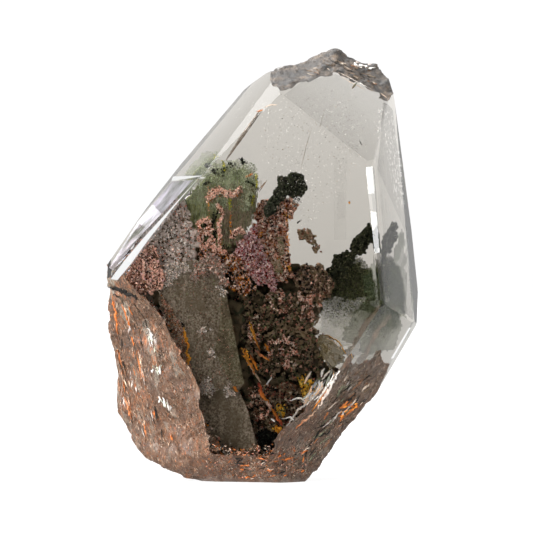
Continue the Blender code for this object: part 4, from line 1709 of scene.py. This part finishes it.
# %% Stains sown at random
BOTTOM = [(222, 450), (262, 452), (312, 446), (306, 474), (250, 480), (226, 476)]
LEFT_SKIN = [
    (112, 300), (128, 300), (142, 340), (152, 400), (176, 440), (150, 450), (128, 425), (118, 390),
    (118, 350),
]
RIGHT_SKIN = [(348, 372), (384, 374), (358, 412), (330, 440), (306, 470), (296, 462), (314, 428)]
TIP = [(334, 58), (370, 66), (384, 88), (372, 84), (340, 72), (300, 78), (306, 69)]
TIP_CHIPS = [(350, 60), (376, 64), (375, 70), (352, 67)]
stains = fan(
    TIP, 90, (0.8, 0.3), (3, 12), (0.4, 1.2), 0.02, (SOOT, DUN, (0.42, 0.35, 0.28), SMOKE, EARTH, BROWN),
)
stains += fan(TIP_CHIPS, 34, (1.0, 0.15), (2, 6), (0.8, 2.0), 0.02, (CHALK, CHALK, STONE_GREY))
stains += [
    ([(338, 72), (352, 79), (371, 89)], 0.8, 0.02, SAND, CHALK),
    ([(340, 76), (352, 83), (366, 90)], 0.7, 0.02, SAND, TAN),
]
stains += fan(
    [(337, 409), (350, 401), (360, 404), (350, 415), (337, 420)], 40, (0.8, -0.5), (2, 8), (1.0, 2.4),
    0.02, (ORANGE, STAIN, RUST),
)
stains += fan(
    BOTTOM, 110, (0.9, -0.25), (2, 9), (0.8, 2.2), 0.02, (STAIN, CLAY, STAIN, SOOT, SAND, BROWN, SOOT),
)
stains += fan(
    LEFT_SKIN, 120, (0.15, 0.95), (4, 16), (0.6, 1.8), 0.02,
    (STAIN, CLAY, BROWN, SOOT, TAN, BROWN, STONE_GREY, SOOT),
)
stains += fan(
    RIGHT_SKIN, 130, (0.7, -0.7), (4, 16), (0.8, 2.6), 0.02,
    (SOOT, EARTH, GREY_GREEN, SAND, SOOT, BROWN, RUST, STONE_GREY),
)
SLIVERS = [
    ([(339, 371), (331, 386), (318, 408)], 3.4, 0.02, CHALK, PALE_PINK),
    ([(334, 375), (326, 389), (315, 404)], 2.2, 0.02, CHALK, SAND),
    ([(330, 382), (322, 394), (314, 400)], 1.8, 0.02, CHALK, CHALK),
    ([(328, 388), (320, 400), (312, 411)], 1.6, 0.02, STAIN, ORANGE),
    ([(340, 368), (345, 384), (350, 396)], 2.6, 0.02, STONE_GREY, DUN),
    ([(318, 408), (308, 418), (296, 428)], 2.4, 0.02, TAN, STAIN),
]
strands("skin_marks", RUNS + SLIVERS + chip_lines + stains, crumb, look=on_skin)

# %% [markdown]
# ## Soil in the skin
#
# Flakes of soil gather in clumps along the left and right borders of the front facet and at the foot.

# %% Soil in the skin
LEFT_SOIL = [
    (128, 288), (150, 300), (172, 330), (188, 372), (204, 420), (222, 452), (196, 456), (172, 420),
    (158, 370), (142, 326), (122, 296),
]
RIGHT_SOIL = [
    (292, 470), (310, 440), (328, 404), (346, 372), (372, 362), (372, 378), (350, 408), (326, 446),
    (304, 474),
]
BOTTOM_SOIL = [(210, 446), (262, 446), (306, 444), (312, 464), (284, 478), (226, 478), (200, 462)]


def soiled(outline, count):
    """Places on the skin that lie inside an outline on the picture."""
    low, high = np.min(outline, axis=0), np.max(outline, axis=0)
    tried = rng.uniform(low, high, size=(3 * count, 2))
    tried = tried[frayed(outline, tried, 6.0)][:count]
    places = on_skin(tried[:, 0], tried[:, 1], 0.0)
    return places[np.isfinite(places[:, 0])]


crumbs(
    "left_soil", clumped(soiled(LEFT_SOIL, 12000), 0.9, -0.12), 0.03, 0.16,
    (SOOT, EARTH, BROWN, SOOT, DUN, SMOKE, CLAY, SOOT, EARTH, BROWN), 0.7, FLAKE,
)
crumbs(
    "right_soil", clumped(soiled(RIGHT_SOIL, 5000), 0.9, -0.12), 0.03, 0.16,
    (SOOT, GREY_GREEN, EARTH, DUN, SOOT, SMOKE, SAND, BROWN), 0.7, FLAKE,
)
crumbs(
    "bottom_soil", clumped(soiled(BOTTOM_SOIL, 6000), 0.9, -0.12), 0.03, 0.16,
    (SOOT, BROWN, STAIN, EARTH, CLAY, SOOT, SAND, SMOKE, ROSE), 0.6, FLAKE,
)

# %% [markdown]
# ## A floating clump
#
# A small brown cloud floats in the clear quartz right of the column, with a hollow under its body and one
# arm. The marks on the skin took their places from the mesh of the stone, so the sowing starts afresh here
# and no longer hangs on it.

# %% A floating clump
rng = np.random.default_rng(8)
CLUMP = [
    (297, 236), (302, 231), (307, 228), (311, 232), (316, 235), (316, 241), (321, 247), (319, 252),
    (314, 254), (312, 248), (309, 243), (303, 242), (298, 242),
]
clump_places = clumped(sow(CLUMP, 260, -5.6, -4.8), 0.9, -0.25)
dressed(grown("floating_clump", clump_places, 0.26, 1.7, 0.4, 0.12), brown_finish, "pink_minerals")
crumbs("clump_crumbs", sow(CLUMP, 420, -5.9, -4.9), 0.04, 0.14, (TAN, DUN, BROWN, ROSE, BLOOD), 0.5)
crumbs(
    "clump_speck", along([(298, 222), (301, 220)], 14, -5.4, 0.6), 0.06, 0.14, (BLACK_GREEN, EARTH),
    slot="dark_chlorite",
)

# %% [markdown]
# ## Dust and lines in the clear quartz
#
# Even the clear part holds specks, dark ones and white ones that glow as painted highlights, hair cracks, a
# spike or two and old healed seams.

# %% Dust and lines in the clear quartz
CLEAR = [(262, 104), (340, 100), (362, 150), (345, 190), (300, 230), (290, 190), (262, 160)]
UPPER_CLEAR = [(300, 96), (330, 84), (372, 96), (378, 140), (364, 160), (330, 130)]
clear_places = np.vstack([sow(CLEAR, 1900, -11.0, 4.0), sow(UPPER_CLEAR, 500, -6.0, 2.0, UPPER)])
crumbs("clear_specks", clear_places[::3], 0.02, 0.08, (EARTH, TAN, SOOT, DUN), slot="chlorite_dust")
# The white specks glow by emission: painted highlights.
crumbs("clear_glints", clear_places[1::2], 0.015, 0.07, (CHALK, CHALK), slot="clear_quartz", finish=painted_glint)
strands(
    "clear_lines",
    [
        ([(263, 109), (246, 133), (226, 161)], 1.2, -12.6, SOOT, EARTH),
        ([(261, 109), (243, 134), (226, 160)], 2.6, -12.2, (0.16, 0.13, 0.1), (0.36, 0.31, 0.26)),
        ([(256, 112), (263, 110)], 1.6, -12.8, BROWN, RUST),
        ([(264, 108), (270, 105), (277, 105)], 0.8, -12.8, TAN, TAN),
        ([(259, 192), (263, 186), (267, 180)], 0.9, -7.4, BROWN, TAN),
        ([(258, 190), (262, 186), (265, 182)], 0.8, -7.4, BROWN, TAN),
        ([(261, 188), (261, 180)], 0.7, -7.4, TAN, TAN),
        ([(358, 142), (360, 147)], 0.9, -9.0, SOOT, SOOT),
        ([(349, 201), (349.6, 204)], 1.8, -10.0, RUST, AMBER),
        ([(312, 127), (306, 147), (301, 169)], 0.4, 6.0, SAND, SAND),
        ([(357, 82), (352, 88)], 1.8, -9.0, MOSS, EARTH),
        ([(387, 97), (380, 92)], 0.7, -9.0, SAND, DUN),
    ],
    crumb, sway=0.05,
)
ghost = haze_finish("ghost", (0.3, 0.29, 0.27), (0.4, 0.38, 0.36), 0.025)
plate(
    "ghost_window", [(334, 158, 5.0), (346.5, 158, 5.0), (346.5, 240, 5.0), (334, 240, 5.0)], 0.1, ghost,
    "clear_quartz",
)
plate(
    "ghost_pane", [(337, 192, 4.0), (345, 192, 4.0), (345, 219, 4.0), (337, 219, 4.0)], 0.1, ghost,
    "clear_quartz",
)

# %% [markdown]
# ## Cracks and painted reflections behind the side facets
#
# The left facet shows slanting streaks of lilac and grey, a painted reflection of the room, with a bright
# seam where it meets the next facet, a painted highlight. The right one is full of small cracks that glow as
# painted sparkle, over a green shade. Each is placed by looking in through its own facet.

# %% Cracks and painted reflections behind the side facets
LEFT_PANE = [(174, 184), (196, 180), (152, 226), (118, 270), (112, 268), (138, 224)]
LEFT_LOW = [(160, 206), (164, 216), (118, 272), (111, 270), (112, 262), (136, 226)]
LEFT_REFLECTION_TONES = (
    (0.62, 0.58, 0.72), (0.95, 0.92, 1.0), (0.2, 0.24, 0.26), (0.22, 0.24, 0.17), (0.75, 0.62, 0.72),
    (0.1, 0.11, 0.09),
)
# These slanting streaks paint the room's reflection in the left facet: a painted reflection.
clouds_and_reflections = fan(LEFT_PANE, 200, (-0.72, 0.7), (8, 30), (1.0, 3.6), -5.6, LEFT_REFLECTION_TONES)
clouds_and_reflections += fan(
    LEFT_LOW, 90, (-0.72, 0.7), (4, 14), (1.4, 4.0), -5.8,
    ((0.2, 0.16, 0.14), (0.34, 0.22, 0.18), (0.25, 0.26, 0.22)),
)
strands("left_reflection_streaks", clouds_and_reflections, reflection_streak_finish, LOWER_LEFT_FACET, 0.08)
# Bright flashes that glow by emission: painted highlights in the left facet.
flashes = fan(LEFT_PANE, 60, (-0.72, 0.7), (5, 22), (0.4, 1.6), -6.2, ((0.8, 0.8, 1.0), (1.0, 0.9, 1.0)))
strands("left_flashes", flashes, painted_glint, LOWER_LEFT_FACET, 0.08)
# The white seam glows by emission: a painted highlight where two facets meet.
plate(
    "white_seam",
    [
        (172.5, 176.4, -5.4, LOWER_LEFT_FACET),
        (203, 175.4, -12.1, LOWER_LEFT_FACET),
        (203, 176.0, -12.1, LOWER_LEFT_FACET),
        (171.6, 180.8, -5.9, LOWER_LEFT_FACET),
    ],
    0.05, painted_glint, "clear_quartz",
)
LEFT_RIM = [(110, 268), (122, 268), (120, 290), (110, 292)]
strands(
    "left_rim", fan(LEFT_RIM, 26, (-0.4, 0.9), (3, 9), (0.8, 2.0), -8.4, (ORANGE, RUST, SOOT, TAN)),
    crumb, LOWER_LEFT_FACET,
)

# %% [markdown]
# ## Sparks and shades at the right
#
# The right facets sparkle with small cracks that glow as painted highlights, over a green shade that deepens
# downwards.

# %% Sparks and shades at the right
SPARKS = [(383, 110), (392, 112), (400, 160), (404, 206), (396, 210), (386, 150)]
# The sparks glow by emission: painted highlights on the right facet.
sparks = fan(SPARKS, 260, (0.12, 1.0), (0.5, 3), (0.2, 0.55), -4.0, (CHALK, CHALK))
strands("right_sparks", sparks, painted_glint, RIGHT, 0.2)
RIGHT_GREEN = [(400, 226), (406, 240), (408, 290), (404, 318), (390, 320), (388, 276), (394, 250)]
sheets = (RIGHT_GREEN, [(401, 226), (405, 238), (398, 262), (391, 276), (393, 254)])
haze(
    "right_green", sheets, -2.0, haze_finish("green_shade", (0.06, 0.1, 0.05), (0.2, 0.26, 0.16), 0.24),
    "chlorite_dust", RIGHT,
)
LOW_GREEN = [(384, 308), (406, 326), (392, 352), (372, 356), (356, 350), (366, 330)]
haze(
    "low_green", (LOW_GREEN,), -4.0,
    haze_finish("low_shade", (0.12, 0.14, 0.08), (0.3, 0.32, 0.21), 0.3), "chlorite_dust",
    LOWER_RIGHT_FACET,
)

# %% [markdown]
# ## Films under the facets
#
# Each facet of the photograph has a tone of its own, because it mirrors and bends the room in another way.
# A faint film close under a facet sets it off from its neighbours: grey films paint shade on the upper, strip
# and right facets, lilac and brown ones paint a reflection on the lower left facet, and white ones paint
# highlights on a rim and in a wedge.

# %% Films under the facets
FILM_DEPTH, FILM_THICKNESS = 0.4, 0.02


def film(name, facet, outline, finish):
    """A sheet close under a facet that sets it off from its neighbours by painted shade, a painted reflection
    or a painted highlight.
    """
    level, by_x, by_z = facet
    bm = bmesh.new()
    flat = [flat_place(column, row) for column, row in outline]
    bm.faces.new([bm.verts.new((x, level + by_x * x + by_z * z + FILM_DEPTH, z)) for x, z in flat])
    bmesh.ops.solidify(bm, geom=bm.faces[:], thickness=FILM_THICKNESS)
    bmesh.ops.triangulate(bm, faces=bm.faces[:])
    dressed(as_piece(bm, name), finish, "clear_quartz")


OLIVE_CHIP = [(318, 334), (328, 335), (338, 342), (346, 356), (342, 366), (330, 371), (318, 354)]
EDGE_STAIN = [(374, 308), (384, 304), (366, 334), (350, 360), (338, 358), (354, 336)]
haze(
    "olive_chip", (OLIVE_CHIP,), -9.0,
    haze_finish("olive_chip", (0.1, 0.07, 0.03), (0.3, 0.24, 0.12), 0.55), "pink_minerals",
)
# DIM and DIMMER are the greys of the painted shade under the upper, strip and right facets.
DIM, DIMMER = (0.22, 0.21, 0.2), (0.34, 0.33, 0.31)
haze(
    "edge_stain", (EDGE_STAIN,), -6.0,
    haze_finish("edge_stain", (0.24, 0.15, 0.1), (0.48, 0.36, 0.28), 0.4), "pink_minerals",
)
# A glowing white sliver along the rim of the lower right facet: a painted highlight.
film("rim_sliver", LOWER_RIGHT_FACET, [(408, 327), (410.5, 328), (393, 358), (390, 358)], painted_glint)
# Painted shade: the upper facet sees less of the bright room.
film(
    "upper_painted_shade", UPPER,
    [(283, 97), (300, 84), (335, 75), (372, 88), (388, 100), (380, 134), (373, 160), (366, 162)],
    haze_finish("upper_painted_shade", DIM, DIMMER, 0.1),
)
# Painted reflection of the room in the lower left facet, darker in its lower part.
film(
    "left_painted_reflection", LOWER_LEFT_FACET,
    [(172, 182), (194, 181), (145, 232), (114, 270), (110, 268), (138, 222)],
    haze_finish("left_painted_reflection", (0.22, 0.23, 0.2), (0.88, 0.84, 0.94), 0.62, True),
)
film(
    "left_low_painted_reflection", LOWER_LEFT_FACET, [(140, 224), (148, 228), (114, 270), (110, 268)],
    haze_finish("left_low_painted_reflection", (0.1, 0.09, 0.07), (0.42, 0.3, 0.26), 0.45, True),
)
WEDGE = [
    (203, 175.4), (176, 204), (150, 232), (143, 240), (126, 260), (112, 279), (119, 280), (133, 263),
    (151, 238), (177, 205),
]
# A glowing white wedge under the sliver facet: a painted highlight.
film("white_wedge", SLIVER, WEDGE, painted_glint)
# Painted shade under the strip and right facets too.
film(
    "strip_painted_shade", STRIP, [(368, 166), (373, 170), (382, 300), (379, 300)],
    haze_finish("strip_painted_shade", DIM, DIMMER, 0.17),
)
film(
    "strip_foot_painted_shade", STRIP, [(375, 250), (379, 250), (382, 300), (379, 300)],
    haze_finish("strip_foot_painted_shade", DIM, DIMMER, 0.3),
)
film(
    "right_painted_shade", RIGHT, [(383, 100), (392, 110), (408, 240), (412, 320), (388, 300), (376, 170)],
    haze_finish("right_painted_shade", DIM, DIMMER, 0.2),
)

# %% [markdown]
# ## The black tuft
#
# Nearly black chlorite stands on the pink column like moss: a stalk that leans left, and a ragged head.

# %% The black tuft
TUFT_HEAD = [
    (279, 178), (286, 176), (295, 173), (303, 175), (305, 184), (304, 194), (300, 197), (292, 196),
    (286, 192), (280, 194),
]
TUFT_STALK = [
    (279, 186), (288, 190), (284, 199), (277, 205), (272, 214), (267, 217), (265, 209), (272, 197),
]
tuft_places = np.vstack(
    [sow(TUFT_HEAD, 620, -6.4, -4.4, fray=2.5), sow(TUFT_STALK, 360, -7.6, -6.0, fray=2.0)]
)
dressed(
    grown("black_tuft", tuft_places, 0.36, 1.5, 0.36, 0.14), black_finish, "dark_chlorite",
    "chlorite_tuft",
)
crumbs(
    "tuft_crumbs",
    np.vstack(
        [
            sow(TUFT_HEAD, 1700, -6.8, -4.2, fray=4.0), sow(TUFT_STALK, 700, -8.0, -6.2, fray=4.0),
            along([(292, 198), (300, 202)], 60, -5.4, 2.2),
        ]
    ),
    0.04, 0.15, (BLACK_GREEN, SOOT, MOSS, SOOT, (0.22, 0.22, 0.17)), 0.5, slot="dark_chlorite",
)

# %% [markdown]
# ## The veil
#
# A slanting sheet of dark dust hangs at the right. It is dense along its saw-toothed upper edge and thins
# out downwards through olive and grey-green to nothing, so beds of finer and paler dust are laid one under
# the other.

# %% The veil
def thinned(places, dense, bare):
    """Fewer places from a dense point of the picture towards a bare one."""
    from_place, to_place = seen(*dense, -1.0), seen(*bare, -1.0)
    span = to_place - from_place
    share = ((places - from_place) @ span) / (span @ span)
    return places[rng.uniform(0, 1, len(places)) > share]

# %% [markdown]
# ## The edge and the haze of the veil
#
# The saw-toothed edge is grown like moss. Two dark sheets and four pale ones behind it carry the soft body
# of the veil.

# %% The edge and the haze of the veil
VEIL_EDGE = [
    (322, 280), (328, 270), (336, 258), (346, 252), (352, 243), (360, 234), (366, 228), (370, 223),
    (373, 234), (368, 245), (362, 253), (353, 261), (345, 272), (334, 286),
]
VEIL_BODY = [
    (322, 286), (334, 268), (348, 254), (358, 254), (365, 262), (376, 270), (381, 300), (376, 326),
    (340, 330), (318, 318),
]
VEIL_DUST = [
    (318, 298), (336, 290), (378, 290), (382, 306), (364, 334), (352, 352), (344, 350), (338, 342),
    (328, 336), (318, 334),
]
VEIL_HAZES = (
    [
        (320, 292), (340, 270), (362, 262), (376, 274), (382, 306), (366, 336), (352, 354), (338, 344),
        (320, 336),
    ],
    [
        (320, 290), (340, 270), (362, 262), (376, 274), (382, 300), (368, 322), (350, 334), (330, 324),
        (318, 312),
    ],
    [(320, 290), (340, 270), (360, 262), (374, 274), (380, 296), (366, 310), (346, 316), (328, 308)],
    [(322, 288), (340, 268), (360, 262), (372, 274), (374, 290), (356, 300), (336, 300), (324, 296)],
)
edge_places = clumped(sow(VEIL_EDGE, 1300, -1.0, 0.6), 0.9, -0.38)
dressed(
    grown("veil_edge", edge_places, 0.36, 1.6, 0.42, 0.16), black_finish, "dark_chlorite", "chlorite_veil",
)
VEIL_SHADES = (
    [
        (322, 294), (334, 272), (350, 256), (360, 258), (375, 272), (380, 318), (366, 312), (348, 316),
        (330, 306),
    ],
    [
        (324, 290), (336, 270), (351, 257), (361, 263), (374, 276), (377, 302), (360, 298), (344, 302),
        (332, 296),
    ],
)
haze(
    "veil_shade", VEIL_SHADES, 2.2,
    haze_finish("veil_shade", (0.12, 0.14, 0.06), (0.32, 0.34, 0.19), 0.15), "dark_chlorite",
)
haze(
    "veil_haze", VEIL_HAZES, 1.6, haze_finish("dusty_haze", (0.36, 0.4, 0.2), (0.64, 0.66, 0.4), 0.13),
    "chlorite_dust",
)

# %% [markdown]
# ## The dust of the veil
#
# Two beds of flakes thin out downwards, the second finer and paler. A chip with brown rims ends the veil
# below.

# %% The dust of the veil
crumbs(
    "veil_crumbs",
    np.vstack(
        [thinned(sow(VEIL_BODY, 19000, -1.2, 1.2), (350, 254), (354, 324)), sow(VEIL_EDGE, 3000, -1.6, 0.8)]
    ),
    0.03, 0.14,
    (BLACK_GREEN, MOSS, (0.22, 0.23, 0.12), MOSS, (0.14, 0.15, 0.07), OLIVE, (0.3, 0.28, 0.2), SOOT),
    0.9, FLAKE, slot="dark_chlorite",
)
dust_places = np.vstack(
    [
        thinned(sow(VEIL_DUST, 26000, -1.4, 1.6), (346, 276), (350, 366)),
        thinned(sow(VEIL_BODY, 14000, -1.4, 1.6), (346, 262), (352, 322)),
    ]
)
crumbs(
    "veil_dust", dust_places, 0.02, 0.055,
    (OLIVE, (0.46, 0.46, 0.24), (0.36, 0.42, 0.2), MOSS, (0.3, 0.36, 0.17), (0.2, 0.25, 0.08), MOSS),
    1.6, FLAKE, slot="chlorite_dust",
)
CHIP_PLACES = sow(
    [(318, 332), (328, 334), (340, 346), (345, 356), (338, 366), (328, 368), (318, 352)], 1100, -6.8, -6.2,
)
crumbs(
    "chip_crumbs", clumped(CHIP_PLACES, 0.6, 0.06), 0.04, 0.15,
    (OLIVE, DUN, BROWN, SOOT, OLIVE, ROSE, EARTH), 0.6,
)
strands(
    "brown_rims",
    [
        ([(322, 335), (328, 335), (339, 342), (346, 354)], 1.5, -9.6, BROWN, AMBER),
        ([(324, 338), (333, 341), (340, 350)], 1.2, -9.4, TAN, SAND),
    ],
    crumb,
)

# %% [markdown]
# ## Light
#
# A clear stone shows what is around it, so the room is the light: white behind the stone, darker behind
# the eye, with soft bright patches at the left and overhead. A lamp would have to find its way through
# the glass by luck, which is noise in a render.

# %% Light
world = bpy.data.worlds.new("white_room")
world.use_nodes = True
bpy.context.scene.world = world
nodes = world.node_tree.nodes
back = nodes["Background"]
direction = nodes.new("ShaderNodeTexCoord").outputs["Generated"]


def glow(towards, inner, outer, strength):
    """The brightness of a soft round patch of the room in one direction; inner and outer are cosines."""
    dot = nodes.new("ShaderNodeVectorMath")
    dot.operation = "DOT_PRODUCT"
    wire(direction, dot.inputs[0])
    dot.inputs[1].default_value = Vector(towards).normalized()
    fade = nodes.new("ShaderNodeMapRange")
    fade.interpolation_type = "SMOOTHSTEP"
    wire(dot.outputs["Value"], fade.inputs["Value"])
    tune(fade, From_Min=outer, From_Max=inner, To_Max=strength)
    return fade.outputs["Result"]


def plus(first, second):
    made = nodes.new("ShaderNodeMath")
    made.operation = "ADD"
    wire(first, made.inputs[0])
    wire(second, made.inputs[1])
    return made.outputs[0]


BEHIND_STONE = 1.02
room = glow((0, 1, 0), 0.1, -0.75, BEHIND_STONE)
room = plus(room, glow((-0.8, -0.5, 0.35), 0.95, 0.78, 6.0))
room = plus(room, glow((-0.45, -0.8, 0.35), 0.97, 0.92, 9.0))
room = plus(room, glow((-0.2, 0.1, 1.0), 0.95, 0.82, 7.0))
room = plus(room, glow((0.97, -0.05, 0.25), 0.95, 0.8, 0.6))
room = plus(room, glow((0.0, -0.45, -0.9), 0.9, 0.4, 0.6))
wire(room, back.inputs["Strength"])
tune(back, Color=(1.0, 1.0, 1.0, 1.0))
print("white room lit")

# %% [markdown]
# ## Cards
#
# A polished facet turns white when it mirrors something bright. Photographers stand white cards round a cut
# stone for that. Each card here hangs where one facet mirrors it to the eye, and only reflections see it.

# %% Cards
def mirrored(depth):
    """The direction in which a facet of the front mirrors the line of sight."""
    normal = Vector((depth[1], -1.0, depth[2])).normalized()
    sight = Vector((0.0, 1.0, 0.0))
    return sight - 2.0 * sight.dot(normal) * normal


def card(name, facet, middle, away, width, height, strength):
    """A bright card that a facet mirrors; middle is a place on the facet, away the distance in mm."""
    column, row = middle
    x, z = flat_place(column, row)
    on_facet = Vector((x, facet[0] + facet[1] * x + facet[2] * z, z))
    towards = mirrored(facet)
    mesh = bpy.data.meshes.new(name)
    w, h = width / 2 * MM, height / 2 * MM
    mesh.from_pydata([(-w, -h, 0), (w, -h, 0), (w, h, 0), (-w, h, 0)], [], [(0, 1, 2, 3)])
    item = bpy.data.objects.new(name, mesh)
    item.location = to_metres(on_facet + away * towards)[0]
    item.rotation_mode = "QUATERNION"
    item.rotation_quaternion = (-towards).to_track_quat("Z", "Y")
    bpy.context.scene.collection.objects.link(item)
    item.visible_camera = item.visible_diffuse = item.visible_transmission = item.visible_shadow = False
    white, nodes = new_material(name)
    glowing = nodes.new("ShaderNodeEmission")
    tune(glowing, Strength=strength)
    wire(glowing.outputs[0], nodes["Material Output"].inputs["Surface"])
    item.data.materials.append(white)
    return item


card("strip_card_top", STRIP, (371, 168), 150, 60, 6.4, 14.0)
card("strip_card_middle", STRIP, (374, 194), 150, 60, 4.3, 5.0)
card("strip_card_foot", STRIP, (377, 227), 150, 60, 8.0, 14.0)
card("sliver_card", SLIVER, (140, 250), 150, 60, 60, 14.0)
print("four cards hung")

# %% [markdown]
# ## The floor
#
# The photograph has no floor to speak of, only white with a faint shadow. The floor is grey and glows a
# little, so that it turns out white and still takes a shadow.

# %% The floor
FLOOR_HALF = 6.0
floor_mesh = bpy.data.meshes.new("floor")
floor_mesh.from_pydata(
    [
        (-FLOOR_HALF, -FLOOR_HALF, 0), (FLOOR_HALF, -FLOOR_HALF, 0), (FLOOR_HALF, FLOOR_HALF, 0),
        (-FLOOR_HALF, FLOOR_HALF, 0),
    ],
    [], [(0, 1, 2, 3)],
)
floor = linked("floor", floor_mesh)
pale, nodes = new_material("pale_floor")
shader = nodes["Principled BSDF"]
tune(
    shader, Base_Color=(0.12, 0.12, 0.12, 1.0), Roughness=0.9, Specular_IOR_Level=0.1,
    Emission_Color=(1.0, 1.0, 1.0, 1.0), Emission_Strength=0.92,
)
floor.data.materials.append(pale)
print("floor", 2 * FLOOR_HALF, "m wide")

# %% [markdown]
# ## How the picture is worked out
#
# A ray through a cut stone bends at every facet and at every grain inside, and one that is given up too
# early comes back black. So rays may bounce more often here than usual.

# %% How the picture is worked out
scene = bpy.context.scene
scene.view_settings.view_transform = "Standard"
scene.cycles.max_bounces = 24
scene.cycles.transmission_bounces = 20
scene.cycles.glossy_bounces = 16
scene.cycles.diffuse_bounces = 5
scene.cycles.use_denoising = True
print("up to", scene.cycles.max_bounces, "bounces")
